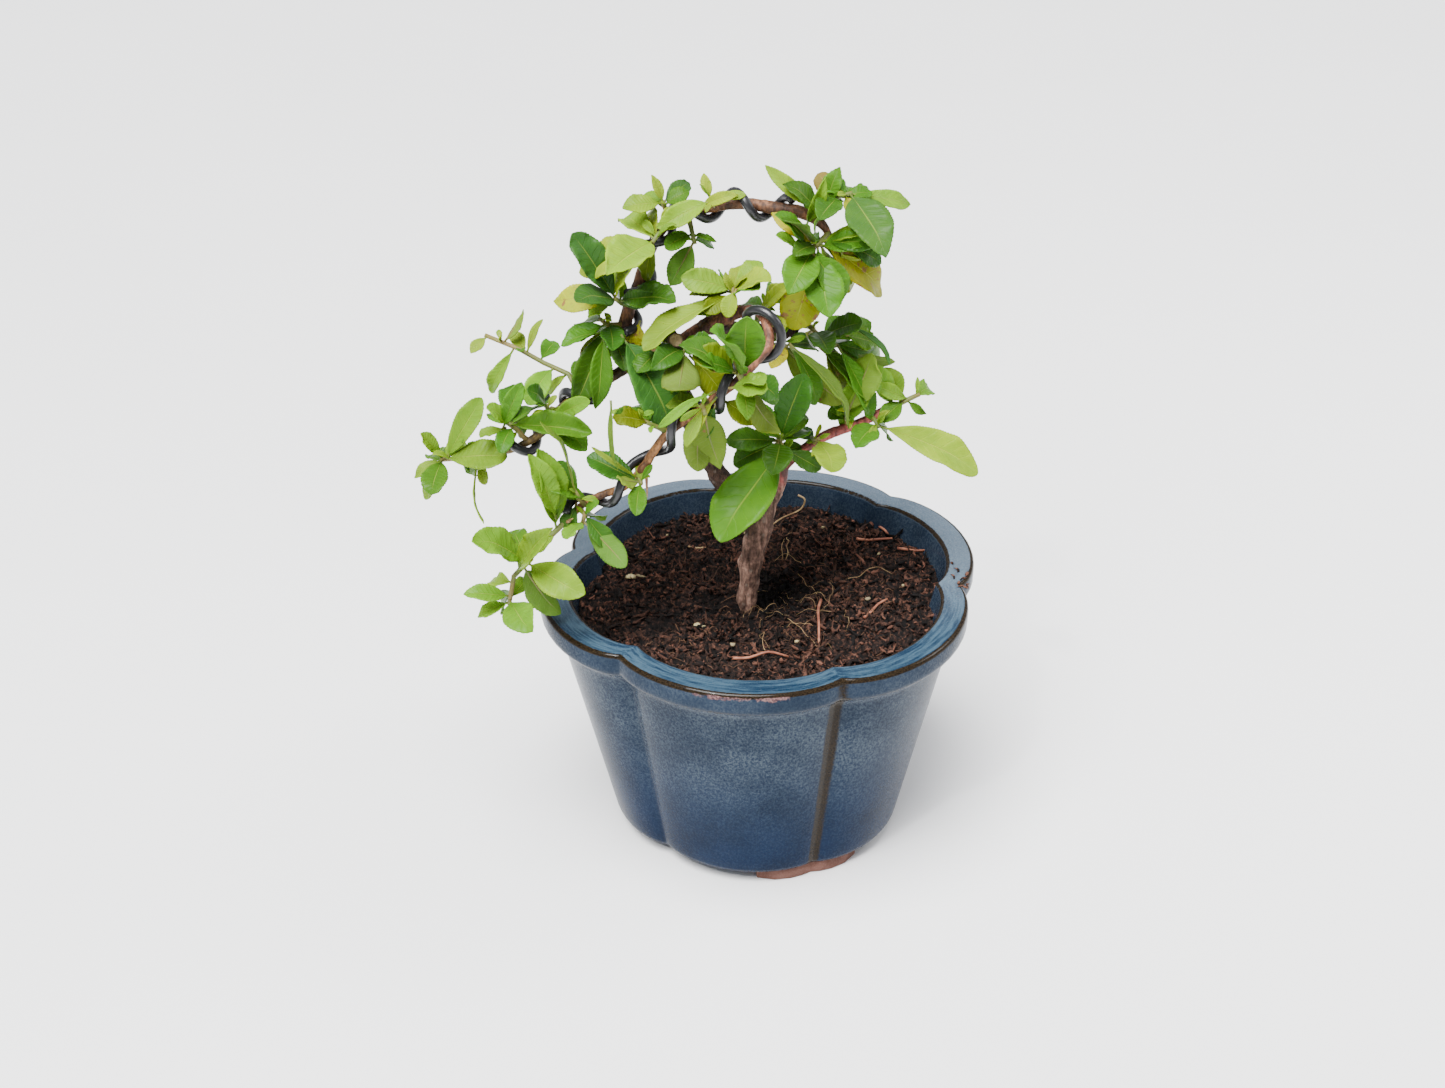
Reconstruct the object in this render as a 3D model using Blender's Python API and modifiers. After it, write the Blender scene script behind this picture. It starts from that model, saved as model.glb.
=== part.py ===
# A firethorn bonsai: a small wired tree with leafy shoots, in a six-lobed glazed pot.
# Sizes are in millimetres, measured from the pot's axis and from the surface it stands on.
# They become metres when a mesh is made.

import math

import bmesh
import bpy
from mathutils import Matrix, Vector
from mathutils.bvhtree import BVHTree

MM = 0.001
CLEARANCE = 0.3         # gap between neighbouring solids

# The part's origin is on the ground under the middle of the whole plant, and the pot stands beside it.
POT_X = 21.0
POT_Y = -0.2

# Pot: each crease between two lobes has its own heading and radius, and each lobe its own bulge,
# because the pot is shaped by hand. The lobes follow the creases in the same order.
POT_HEIGHT = 96.0
CREASE_HEADINGS = (-69.5, -6.5, 48.0, 107.0, 167.0, 226.5)
CREASE_RADII = (67.5, 67.0, 70.5, 67.5, 68.5, 69.0)
LOBE_BULGES = (5.5, 6.5, 4.0, 5.0, 8.5, 4.0)
LOBE_COLUMNS = 8
LOBE_TURN = 0.4         # how quickly a lobe swells beside its crease
RIM_RADIUS = 70.0       # mean crease radius that the sections below are drawn at
RIM_WIDTH = 9.0
LIP_HEIGHT = 8.0
WALL_TOP_RADIUS = 65.0
BASE_RADIUS = 49.5
POT_WALL = 5.5
FOOT_HEIGHT = 4.6
FLOOR_TOP = 11.5
DRAIN_RADIUS = 9.0
LOBED_FROM = 20.0       # nearer the axis than this the pot is round

# Feet: three, under every second crease
FOOT_CREASES = (0, 2, 4)
FOOT_SPAN = 44.0        # degrees that a foot takes up of the pot's round
FOOT_OUTER = 46.5
FOOT_INNER = 34.0
FOOT_SUNK = 1.2         # depth of the foot inside the pot's underside

# Screen over the drain hole
SCREEN_SIZE = 27.0
SCREEN_THICK = 1.0
SCREEN_CELLS = 3
SCREEN_BAR = 1.4

# Soil
SOIL_TOP = 86.5
SOIL_DOME = 1.0         # how much higher the soil is in the middle than at the wall
DIP_DEPTH = 3.5         # the hollow round the trunk
DIP_REACH = 11.0
DIP_SHIFT = 4.0         # the hollow lies mostly to the right of the trunk
HOLE_RADIUS = 5.4
HOLE_BOTTOM = 46.0

# Wood: each limb is a route of (x, y, z, radius)
TRUNK_X = -6.0
TRUNK_Y = -7.0
STUB_BOTTOM = HOLE_BOTTOM + CLEARANCE
LIMBS = {
    "trunk": [(TRUNK_X, TRUNK_Y, STUB_BOTTOM, 4.6), (TRUNK_X, TRUNK_Y, 66, 4.6), (TRUNK_X, TRUNK_Y, 84, 4.7),
              (-5.5, -7, 92, 4.9), (-5, -7, 101, 4.6), (-3, -5, 114, 4.4), (0, -3, 124, 3.8), (3, -1, 133, 3.8),
              (5, 0, 139, 2.6)],
    "left_limb": [(-3, -5, 115, 3.0), (-9, -4, 127, 3.4), (-16, -4, 137, 3.3), (-21, -3, 148, 3.3),
                  (-25, -2, 156, 3.0), (-27, -1, 164, 3.2), (-29, 0, 172, 3.0), (-32, 1, 180, 3.0)],
    "cut_stub": [(-31, 1, 178, 2.0), (-30, -3, 181, 2.9), (-29, -8, 185, 2.4)],
    "arch": [(-31, 1, 177, 2.4), (-39, 3, 179, 2.6), (-45, 5, 182, 2.8), (-45, 7, 188, 2.2), (-41, 9, 199, 2.0),
             (-37, 11, 210, 1.9), (-33, 12, 217, 1.9), (-27, 13, 221, 1.9), (-20, 13, 223, 1.8),
             (-10, 12, 225, 1.9), (-4, 11, 225, 2.0), (3, 10, 224, 2.1), (11, 9, 223, 2.0), (17, 9, 219, 1.5),
             (20, 8, 214, 1.0)],
    "bridge": [(-31, 0, 181, 2.2), (-23, -1, 187, 2.4), (-19, -2, 190, 2.6), (-13, -2, 193, 2.6),
               (-8, -5, 196, 2.2), (-4, -11, 199, 1.8), (-1, -17, 198, 1.8), (0, -22, 193, 1.9),
               (-4, -26, 189, 1.8), (-9, -28, 184, 1.8), (-16, -28, 178, 1.8), (-21, -27, 173, 1.8),
               (-27, -26, 168, 1.8), (-32, -25, 163, 1.8), (-36, -25, 157, 1.8), (-40, -25, 150, 1.8),
               (-46, -25, 144, 1.7), (-53, -25, 141, 1.6), (-59, -26, 138, 1.5), (-65, -28, 132, 1.2)],
    "spur": [(-13, -2, 191, 2.2), (-12, -2, 195, 1.9), (-11, -2, 197, 1.5)],
    "far_limb": [(-19, -2, 189, 2.2), (-9, 3, 186, 2.4), (1, 9, 182, 2.8), (6, 11, 182, 3.0), (10, 12, 185, 2.7),
                 (8, 13, 189, 2.2), (6, 13, 195, 1.8)],
    "low_limb": [(-36, 2, 178, 2.0), (-47, -1, 173, 1.8), (-54, -3, 169, 1.7), (-60, -4, 166, 1.6),
                 (-67, -5, 161, 1.5), (-72, -6, 154, 1.4), (-80, -7, 149, 1.3), (-86, -7, 147, 1.2),
                 (-93, -7, 146, 1.0)],
    "red_shoot": [(1, -2, 131, 1.8), (5, -1, 137, 1.7), (8, 0, 140, 1.6), (12, 1, 143, 1.5), (20, 4, 147, 1.5),
                  (31, 7, 150, 1.3), (41, 10, 154, 1.2)],
}
LIMB_STEP = 7.5         # length of one straight piece of a limb
THORNS = [              # (x, y, z) of the root, heading, rise, length
    (-64.5, -28, 132.3, -60, 40, 8),
    (-38.5, -25, 152, -80, -80, 11),
    (-18.5, -27, 175, -110, -60, 9),
    (-21, 13, 223, 45, 65, 8),
    (-29, 1, 174, 60, 10, 5),
]
THORN_RADIUS = 0.8

# Wires: each is wound round one limb by hand, so its turns are uneven. For each: the limb, which way
# it winds, the shares of the limb's length where it crosses the front, and its first and last turn
WIRE_RADIUS = 1.5
WIRE_GAP = 0.6          # a wire wound by hand touches its limb only here and there
TURN_POINTS = 8         # points of a wire in one turn
VIEW_SIDE = Vector((0.0, -0.9, 0.44)).normalized()     # the side that counts as a limb's front
WIRES = {
    "wire_arch": ("arch", 1, (0.155, 0.282, 0.43, 0.575, 0.727, 0.87), 0.0, 4.85),
    "wire_front": ("bridge", -1, (0.285, 0.497, 0.639, 0.84, 0.99), -0.45, 3.9),
    "wire_left": ("low_limb", 1, (0.41, 0.62, 0.81, 0.99), -0.3, 2.4),
}

# Leaves
BLADE_THICK = 0.7
STALK_HALF = 0.45       # half width of a leaf where it leaves the stem
TOOTH = 0.07            # depth of the notches in a leaf's edge, as a share of its half width
NARROW = 10.5           # a leaf narrower than this has no fold
LIGHT = Vector((0.0, -0.55, 0.83)).normalized()     # the way that the blades face
STEM_RADII = (1.1, 0.85)
LEAF_START = 0.45       # how far from a stem's middle its leaves begin
STEM_END = 0.9          # length of stem past its last leaf
STEM_LIFT = 2.0         # how far a shoot leaves its limb before it turns
TURNS = [(0, 0, 0), (10, 0, 0), (-10, 0, 0), (0, 10, 0), (0, -10, 0), (0, 0, 30), (0, 0, -30),
         (18, 0, 0), (-18, 0, 0), (0, 18, 0), (0, -18, 0), (15, 15, 0), (-15, 15, 0), (15, -15, 0),
         (-15, -15, 0), (0, 12, 50), (0, -12, -50), (28, 0, 20), (-28, 0, -20), (0, 28, 0), (0, -28, 0),
         (28, 20, 30), (-28, 20, -30), (28, -20, 0), (-28, -20, 0), (40, 0, 40), (-40, 0, -40)]

# Leafy shoots: the route of the stem, then one row for each leaf with its place along the stem (0 to 1),
# the heading and rise of its tip in degrees, its length, width, roll about its own length, arch in
# hundredths of its length, and fold of each half in degrees
SHOOTS = {
    "shoot_left": ([(-58, 1, 168), (-64, 3, 170), (-72, 5, 173), (-80, 7, 177), (-91, 9, 181)], [
        (1.00, -125, -25, 8, 5, 0, 12, 20),
        (0.82, 20, 55, 13, 5, 150, 10, 20),
        (0.62, 105, 20, 10, 6, 0, 10, 25),
        (0.60, -25, 70, 14, 3.5, 0, 10, 10),
        (0.72, -160, -60, 18, 7, 0, 18, 35),
        (0.33, -120, -15, 17, 10, 0, 28, 20),
        (0.20, 155, -45, 13, 4, 0, 12, 15),
        (0.47, 75, 10, 12, 7, 0, 10, 20),
        (0.10, 80, 10, 13, 8, 0, 12, 20),
    ]),
    "spray_left_inner": ([(-79, -7, 151), (-80, -8, 155), (-83, -10, 159)], [
        (0.93, 100, 25, 17, 10, 0, 8, 45),
        (1.00, -140, 50, 12, 7, 0, 12, 15),
        (0.90, -10, 10, 30, 13, 0, 8, 40),
        (0.88, 50, 5, 15, 9, 0, 10, 30),
        (0.78, 40, -25, 17, 10, 180, 10, 20),
        (1.00, 110, 0, 12, 7, 0, 10, 20),
        (0.72, -100, -10, 12, 7, 0, 16, 20),
    ]),
    "spray_left_mid": ([(-70, -9, 159), (-70, -11, 164), (-70, -13, 167)], [
        (1.00, -115, 40, 14, 8, 0, 12, 20),
        (1.00, 85, -10, 14, 8, 0, 12, 20),
        (0.10, -70, -5, 19, 11, 0, 12, 20),
        (0.80, 125, -30, 14, 8, 0, 12, 20),
    ]),
    "spray_left_tip": ([(-95, -7, 145), (-100, -8, 145), (-106, -9, 145)], [
        (0.85, 15, 55, 24, 10, 0, 14, 25),
        (0.90, -15, 25, 23, 13, 0, 8, 12),
        (0.97, -160, 60, 12, 6, 0, 12, 25),
        (0.90, 70, 10, 12, 7, 0, 12, 20),
        (1.00, -90, -10, 17, 10, 0, 14, 15),
        (1.00, 165, -65, 18, 5, 0, 12, 20),
        (1.00, -165, -25, 11, 5, 0, 25, 20),
        (0.03, -50, -65, 10, 4, 0, 12, 20),
        (0.12, 130, -65, 10, 6, 0, 12, 20),
        (0.00, -90, -80, 22, 3.5, 90, 26, 10),
        (0.70, 130, -15, 14, 8, 0, 12, 20),
        (0.42, 75, -15, 15, 9, 0, 12, 20),
    ]),
    "spray_front_low": ([(-66, -28, 130), (-73, -32, 126), (-76, -35, 123), (-81, -37, 118), (-82, -38, 113), (-83, -38, 108)], [
        (0.07, -160, 80, 30, 14, 0, 8, 32),
        (0.50, -155, 45, 24, 14, 0, 14, 20),
        (0.65, -35, 65, 27, 11, 0, 14, 30),
        (0.50, -40, -10, 23, 14, 0, 12, 15),
        (0.55, 10, -65, 23, 12, 180, 14, 15),
        (0.90, -165, 10, 15, 8, 0, 14, 30),
        (1.00, 180, -25, 12, 6, 0, 14, 20),
        (0.95, -60, 0, 20, 12, 0, 14, 15),
        (0.93, 50, 10, 12, 7, 0, 12, 25),
        (0.75, 140, -20, 12, 7, 0, 12, 20),
        (0.40, -20, 45, 9, 5, 0, 10, 20),
        (0.47, 120, 15, 15, 9, 0, 12, 25),
        (0.82, 120, -55, 18, 8, 0, 12, 20),
    ]),
    "spray_front_elbow": ([(-59, -26, 139), (-59, -28, 137), (-59, -29, 133)], [
        (1.00, -140, 5, 13, 8, 0, 8, 10),
        (0.23, -5, -55, 14, 8, 0, 14, 30),
        (1.00, -15, -35, 20, 10, 180, 8, 15),
        (0.45, 70, -20, 14, 8, 0, 12, 20),
    ]),
    "spray_front_rising": ([(-58, -27, 139), (-59.5, -29.5, 142), (-61, -30, 145.5)], [
        (0.55, 145, 40, 14, 8, 0, 10, 40),
        (1.00, -155, 75, 30, 5, 75, 10, 15),
        (0.80, 140, 15, 17, 10, 0, 12, 25),
    ]),
    "spray_front_node": ([(-40, -27, 149), (-40, -30, 148)], [
        (0.17, -170, 40, 19, 2, 0, 20, 0),
        (0.90, 150, 5, 19, 11, 0, 10, 15),
        (0.70, -130, 30, 12, 7, 180, 12, 20),
        (0.85, -110, -20, 13, 8, 0, 12, 35),
    ]),
    "spray_front_upper": ([(-33, -25, 166), (-36, -28, 168), (-42, -29, 172)], [
        (0.78, -135, 30, 12, 7, 0, 10, 20),
        (0.53, -125, 15, 15, 9, 0, 12, 15),
        (0.30, 165, 20, 15, 4, 0, 8, 10),
        (0.42, 105, 5, 14, 8, 0, 12, 20),
    ]),
    "spray_front_mid": ([(-19, -29, 176), (-20.5, -33, 177), (-20, -36, 178), (-19.5, -38, 177)], [
        (0.57, -175, -70, 21, 11, 150, 10, 12),
        (0.85, 55, -60, 22, 13, 170, 10, 12),
        (0.70, -135, -45, 13, 5, 0, 22, 15),
        (0.47, 115, -10, 15, 9, 0, 12, 20),
    ]),
    "spray_front_high": ([(-9, -31, 189), (-9, -34, 188), (-8, -35, 185)], [
        (0.80, -60, 25, 15, 9, 0, 8, 15),
        (0.93, 45, -30, 17, 10, 0, 10, 20),
        (1.00, -90, -35, 12, 7, 0, 12, 15),
        (1.00, 15, -60, 22, 11, 160, 8, 10),
        (0.07, -110, 50, 28, 17, 0, 10, 15),
        (0.15, -155, 45, 22, 12, 0, 12, 20),
    ]),
    "spray_heart": ([(-27, -3, 185), (-27, -9, 186), (-26, -13, 186)], [
        (1.00, -75, -10, 24, 14, 175, 10, 12),
        (0.72, -125, -5, 17, 10, 0, 20, 25),
        (0.95, -50, 30, 15, 9, 0, 12, 20),
        (0.80, 120, 0, 12, 7, 0, 12, 20),
    ]),
    "spray_upper_left": ([(-49, 4, 185), (-51, 2, 188), (-53, 0, 191)], [
        (0.60, -170, -20, 16, 8, 0, 12, 30),
        (0.45, -170, -55, 18, 8, 0, 18, 25),
        (0.50, -140, -70, 29, 13, 0, 22, 35),
        (0.45, -80, -35, 15, 9, 0, 20, 30),
        (0.45, -65, -15, 42, 25, 0, 16, 15),
        (0.50, 115, -55, 17, 9, 0, 12, 20),
        (0.90, 130, -25, 17, 10, 0, 12, 20),
    ]),
    "spray_arch_foot": ([(-43, 5, 190), (-45, 3, 194), (-48, 0, 198)], [
        (1.00, -170, 60, 26, 13, 0, 10, 25),
        (0.75, -130, 25, 20, 12, 0, 8, 8),
        (1.00, 170, -5, 21, 11, 0, 10, 12),
        (1.00, 120, 10, 27, 16, 0, 12, 15),
        (0.65, -30, 15, 22, 13, 0, 20, 15),
        (0.55, -35, 10, 14, 8, 0, 10, 15),
    ]),
    "spray_arch_side": ([(-33, 12, 217), (-33, 6, 219), (-36, 0, 217)], [
        (0.95, -120, 0, 27, 16, 0, 8, 25),
        (1.00, 150, -65, 15, 7, 0, 12, 25),
        (0.85, 125, 5, 19, 11, 0, 14, 25),
        (0.68, 105, 10, 15, 9, 0, 12, 20),
    ]),
    "spray_arch_shoulder": ([(-31, 12, 219), (-32, 11, 223), (-33, 9, 227)], [
        (0.88, -160, 0, 13, 8, 0, 18, 15),
        (1.00, 180, 75, 10, 4, 0, 10, 25),
        (0.95, 45, -5, 12, 7, 0, 12, 15),
        (0.95, 130, 10, 8, 5, 0, 10, 15),
    ]),
    "spray_arch_top": ([(-18, 12, 225), (-18, 9, 228)], [
        (1.00, -160, -20, 19, 9, 0, 10, 25),
        (0.97, 10, 15, 11, 4, 0, 10, 10),
    ]),
    "spray_arch_hanging": ([(-24, 13, 220), (-24, 10, 217), (-23, 8, 213)], [
        (0.95, -165, -60, 16, 9, 170, 8, 12),
        (0.60, -150, -5, 11, 7, 0, 10, 20),
        (0.80, 60, -30, 12, 7, 0, 10, 20),
    ]),
    "spray_crown_high": ([(15, 9, 223), (19, 8, 227), (22, 8, 229), (26, 8, 230)], [
        (0.15, 175, 35, 23, 6, 0, 8, 15),
        (0.12, -165, 45, 16, 9, 0, 12, 20),
        (0.23, 40, 70, 14, 8, 0, 14, 30),
        (0.57, 30, 25, 12, 6, 0, 16, 20),
        (0.75, 115, 5, 15, 9, 160, 10, 15),
        (0.65, -100, 0, 17, 10, 0, 10, 25),
        (0.40, -130, -30, 11, 6, 80, 8, 10),
        (1.00, 25, -5, 17, 10, 0, 18, 35),
        (1.00, -55, -20, 27, 16, 0, 10, 10),
        (1.00, 15, -20, 25, 7, 0, 10, 20),
        (1.00, 25, -60, 22, 10, 0, 10, 20),
        (0.80, -65, -25, 12, 7, 0, 12, 20),
        (0.82, 70, 5, 13, 8, 0, 12, 20),
        (0.97, 50, -30, 19, 10, 0, 12, 20),
    ]),
    "spray_crown_low": ([(18, 7, 218), (17, 4, 216), (14, 1, 215)], [
        (0.93, -140, 45, 18, 11, 0, 12, 20),
        (1.00, 165, 35, 17, 7, 0, 10, 20),
        (1.00, -140, 10, 13, 8, 0, 14, 20),
        (0.85, 100, 10, 15, 9, 0, 12, 25),
        (0.47, -30, 30, 19, 11, 0, 14, 20),
        (0.57, -20, 5, 17, 8, 0, 10, 35),
        (1.00, -115, -10, 22, 13, 0, 14, 15),
        (0.78, -85, -20, 25, 15, 0, 14, 12),
        (0.68, 10, -55, 19, 11, 150, 12, 15),
        (1.00, 140, -75, 27, 12, 0, 12, 15),
        (0.97, 15, -85, 29, 15, 0, 12, 15),
        (0.45, 10, -45, 30, 17, 0, 12, 12),
        (0.65, 30, -60, 26, 9, 0, 12, 15),
        (0.68, 110, -10, 17, 10, 0, 12, 20),
    ]),
    "spray_middle": ([(-11, -2, 197), (-11, -2, 199), (-11, -2, 203)], [
        (0.82, -40, 30, 18, 11, 0, 12, 20),
        (0.75, -175, 20, 17, 10, 0, 14, 20),
        (0.65, 170, 0, 14, 7, 0, 10, 20),
        (0.97, 90, 30, 10, 6, 0, 10, 20),
        (0.65, -55, 0, 15, 9, 0, 14, 20),
        (0.53, -130, -15, 12, 7, 0, 14, 25),
        (0.57, -155, -20, 34, 13, 0, 14, 20),
        (0.88, 65, -5, 15, 9, 0, 12, 20),
        (0.88, 110, -5, 15, 9, 0, 12, 20),
    ]),
    "spray_middle_back": ([(-0, 2, 190), (-1, 6, 192), (-0, 8, 193)], [
        (0.57, -25, 50, 13, 8, 0, 8, 25),
        (0.42, -60, 5, 13, 8, 0, 10, 15),
        (0.78, 115, -15, 14, 8, 0, 12, 20),
        (0.93, 75, -5, 15, 9, 0, 12, 20),
    ]),
    "spray_shoot_top": ([(27, 7, 150), (26.5, 4.5, 153), (26.5, 4, 155.5)], [
        (1.00, 20, 65, 22, 13, 165, 8, 10),
        (1.00, -155, 45, 7, 4, 0, 10, 20),
        (1.00, 95, -5, 15, 9, 0, 12, 20),
    ]),
    "spray_shoot_tip": ([(42, 10, 154), (48, 13, 156), (51, 14, 157)], [
        (0.10, -165, 55, 19, 10, 0, 10, 15),
        (0.35, 150, 65, 13, 8, 0, 10, 20),
        (0.62, -155, 30, 15, 6, 0, 10, 25),
        (0.45, -120, -5, 13, 8, 0, 12, 20),
        (0.82, 70, -10, 14, 8, 0, 12, 20),
    ]),
    "spray_right": ([(13, 14, 182), (17, 15, 178), (21, 14, 176), (23, 13, 175)], [
        (0.80, 30, 10, 17, 9, 0, 14, 20),
        (0.57, -30, 30, 17, 10, 0, 12, 25),
        (0.78, 10, -25, 24, 6, 165, 22, 25),
        (0.90, -10, -20, 19, 9, 0, 16, 35),
        (0.40, -80, 5, 19, 11, 0, 20, 25),
        (0.88, 5, -55, 28, 15, 0, 16, 18),
        (0.70, 20, -65, 24, 10, 170, 10, 15),
        (0.95, 65, -35, 18, 10, 0, 12, 20),
        (0.60, 70, -5, 17, 10, 0, 12, 20),
        (0.30, 100, -45, 15, 9, 0, 12, 20),
    ]),
    "spray_right_inner": ([(5, 4, 181), (6, -2, 182)], [
        (0.55, -10, -50, 29, 12, 175, 10, 15),
        (0.72, -95, -5, 14, 8, 0, 14, 20),
        (0.88, 50, -35, 17, 10, 0, 12, 20),
        (0.60, 115, -35, 15, 9, 0, 12, 20),
    ]),
    "spray_shoot_low": ([(36, 5, 152), (37, 2, 151)], [
        (0.95, -5, -20, 37, 14, 0, 10, 15),
        (0.72, -110, 0, 17, 10, 0, 12, 15),
        (0.68, 60, -45, 15, 9, 0, 12, 20),
    ]),
    "spray_shoot_base": ([(15, 2, 144), (16, -2, 148), (17, -4, 150)], [
        (0.82, -65, 5, 22, 13, 0, 10, 12),
        (0.57, 110, -5, 12, 7, 0, 12, 20),
    ]),
    "spray_spur": ([(7, -4, 141), (6, -8, 147), (4, -10, 153)], [
        (1.00, -25, 75, 26, 14, 0, 10, 20),
        (1.00, -165, 10, 18, 10, 0, 16, 15),
        (0.93, -105, 0, 19, 11, 0, 12, 18),
        (0.93, -175, -25, 17, 10, 0, 12, 18),
        (1.00, 60, 0, 15, 9, 0, 12, 20),
        (0.72, -20, -25, 14, 8, 0, 12, 25),
        (0.80, -135, -30, 38, 23, 0, 10, 12),
        (0.95, 50, -5, 15, 9, 0, 12, 20),
        (0.95, 100, 10, 14, 8, 0, 12, 25),
    ]),
}


def remove_scene_objects():
    for item in list(bpy.data.objects):
        bpy.data.objects.remove(item, do_unlink=True)


def make_collection(name):
    group = bpy.data.collections.new(name)
    bpy.context.scene.collection.children.link(group)
    return group


def make_material(name, colour, roughness, metallic=0.0):
    material = bpy.data.materials.new(name)
    material.use_nodes = True
    shader = material.node_tree.nodes["Principled BSDF"]
    shader.inputs["Base Color"].default_value = (*colour, 1.0)
    shader.inputs["Roughness"].default_value = roughness
    shader.inputs["Metallic"].default_value = metallic
    return material


def object_from_bmesh(name, shape, group, material=None):
    mesh = bpy.data.meshes.new(name)
    shape.to_mesh(mesh)
    shape.free()
    if material:
        mesh.materials.append(material)
    item = bpy.data.objects.new(name, mesh)
    group.objects.link(item)
    return item


def evaluated_mesh(item):
    depsgraph = bpy.context.evaluated_depsgraph_get()
    return bpy.data.meshes.new_from_object(item.evaluated_get(depsgraph))


def bake(item):
    # replaces an object's mesh by what its modifiers make of it
    mesh = evaluated_mesh(item)
    old = item.data
    item.modifiers.clear()
    item.data = mesh
    bpy.data.meshes.remove(old)


def fuse(item, group, operation="UNION", solver="EXACT"):
    # joins a collection of objects to one object, or cuts them out of it, and removes them
    modifier = item.modifiers.new("fuse", "BOOLEAN")
    modifier.operation = operation
    modifier.solver = solver
    modifier.operand_type = "COLLECTION"
    modifier.collection = group
    bake(item)
    for extra in list(group.objects):
        bpy.data.objects.remove(extra, do_unlink=True)
    bpy.data.collections.remove(group)


def smooth_route(points, step):
    # a Catmull-Rom curve through the points, with any radius carried along as a fourth number
    knots = [Vector(point) for point in points]
    size = len(knots[0])
    ends = [2 * knots[0] - knots[1]] + knots + [2 * knots[-1] - knots[-2]]
    route = [knots[0]]
    for index in range(len(knots) - 1):
        before, start, end, after = ends[index:index + 4]
        pieces = max(1, round((end - start).length / step))
        for piece in range(1, pieces + 1):
            t = piece / pieces
            point = Vector([0.0] * size)
            point += start * (2 - 5 * t ** 2 + 3 * t ** 3) * 0.5
            point += end * (t + 4 * t ** 2 - 3 * t ** 3) * 0.5
            point += before * (-t + 2 * t ** 2 - t ** 3) * 0.5
            point += after * (t ** 3 - t ** 2) * 0.5
            route.append(point)
    return route


def route_length(route):
    return sum((b.xyz - a.xyz).length for a, b in zip(route, route[1:]))


def place_on(route, share):
    # the point at a share of the route's length
    lengths = [(b.xyz - a.xyz).length for a, b in zip(route, route[1:])]
    left = share * sum(lengths)
    for index, length in enumerate(lengths):
        if left <= length or index == len(lengths) - 1:
            return route[index].lerp(route[index + 1], min(1.0, left / length))
        left -= length
    return route[-1]


def tube(name, route, radii, group, sides=2):
    # a POLY curve with round section; sides 2 gives eight, 1 gives six and 0 gives four
    curve = bpy.data.curves.new(name, "CURVE")
    curve.dimensions = "3D"
    curve.bevel_depth = MM
    curve.bevel_resolution = sides
    curve.use_fill_caps = True
    curve.resolution_u = 1
    curve.render_resolution_u = 0
    spline = curve.splines.new("POLY")
    spline.points.add(len(route) - 1)
    for target, point, radius in zip(spline.points, route, radii):
        target.co = (point[0] * MM, point[1] * MM, point[2] * MM, 1.0)
        target.radius = radius
    item = bpy.data.objects.new(name, curve)
    group.objects.link(item)
    return item


def tube_mesh(name, route, radii, group, sides=2):
    # the same tube as a closed mesh with its caps welded on
    rough = tube(name + "_curve", route, radii, group, sides)
    shape = bmesh.new()
    shape.from_mesh(evaluated_mesh(rough))
    bpy.data.objects.remove(rough, do_unlink=True)
    bmesh.ops.remove_doubles(shape, verts=shape.verts, dist=0.00001)
    bmesh.ops.recalc_face_normals(shape, faces=shape.faces)
    return object_from_bmesh(name, shape, group)


def lobed(x, y):
    # moves a point of a plain turned shape, whose columns are evenly spaced, onto the lobed outline
    radius = math.hypot(x, y) / MM
    if radius < 0.001:
        return 0.0, 0.0
    turn = math.degrees(math.atan2(y, x)) % 360.0
    if turn > 359.999:
        turn = 0.0
    lobe = int(turn / 60.0 + 0.0001) % 6
    share = max(0.0, turn / 60.0 - lobe)
    share = 0.5 - 0.5 * math.cos(math.pi * min(1.0, share))
    after = (lobe + 1) % 6
    first = CREASE_HEADINGS[lobe]
    width = (CREASE_HEADINGS[after] - first) % 360.0
    heading = math.radians(first + width * share)
    crease = CREASE_RADII[lobe] + (CREASE_RADII[after] - CREASE_RADII[lobe]) * share
    swell = LOBE_BULGES[lobe] * math.sin(math.pi * share) ** LOBE_TURN if 0.0 < share < 1.0 else 0.0
    amount = min(1.0, max(0.0, (radius - LOBED_FROM) / (BASE_RADIUS - LOBED_FROM)))
    gain = 1.0 + amount * ((crease + swell * min(1.0, radius / WALL_TOP_RADIUS)) / RIM_RADIUS - 1.0)
    radius *= gain * MM
    return radius * math.cos(heading), radius * math.sin(heading)


def turned(profile, closed):
    # spins a section of (radius, z) round the axis, and then gives it the pot's lobes
    shape = bmesh.new()
    verts = [shape.verts.new((radius * MM, 0.0, z * MM)) for radius, z in profile]
    edges = [shape.edges.new(pair) for pair in zip(verts, verts[1:])]
    if closed:
        edges.append(shape.edges.new((verts[-1], verts[0])))
    bmesh.ops.spin(shape, geom=verts + edges, cent=(0, 0, 0), axis=(0, 0, 1), angle=math.tau,
                   steps=6 * LOBE_COLUMNS, use_merge=True)
    bmesh.ops.remove_doubles(shape, verts=shape.verts, dist=0.000001)
    for vert in shape.verts:
        vert.co.x, vert.co.y = lobed(vert.co.x, vert.co.y)
    bmesh.ops.recalc_face_normals(shape, faces=shape.faces)
    return shape


def inner_radius(z):
    # the pot's inner wall, from the floor to just under the rim
    low = (FLOOR_TOP + 1.5, BASE_RADIUS - POT_WALL)
    high = (POT_HEIGHT - 1.2, RIM_RADIUS - RIM_WIDTH)
    return low[1] + (high[1] - low[1]) * (z - low[0]) / (high[0] - low[0])


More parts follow.
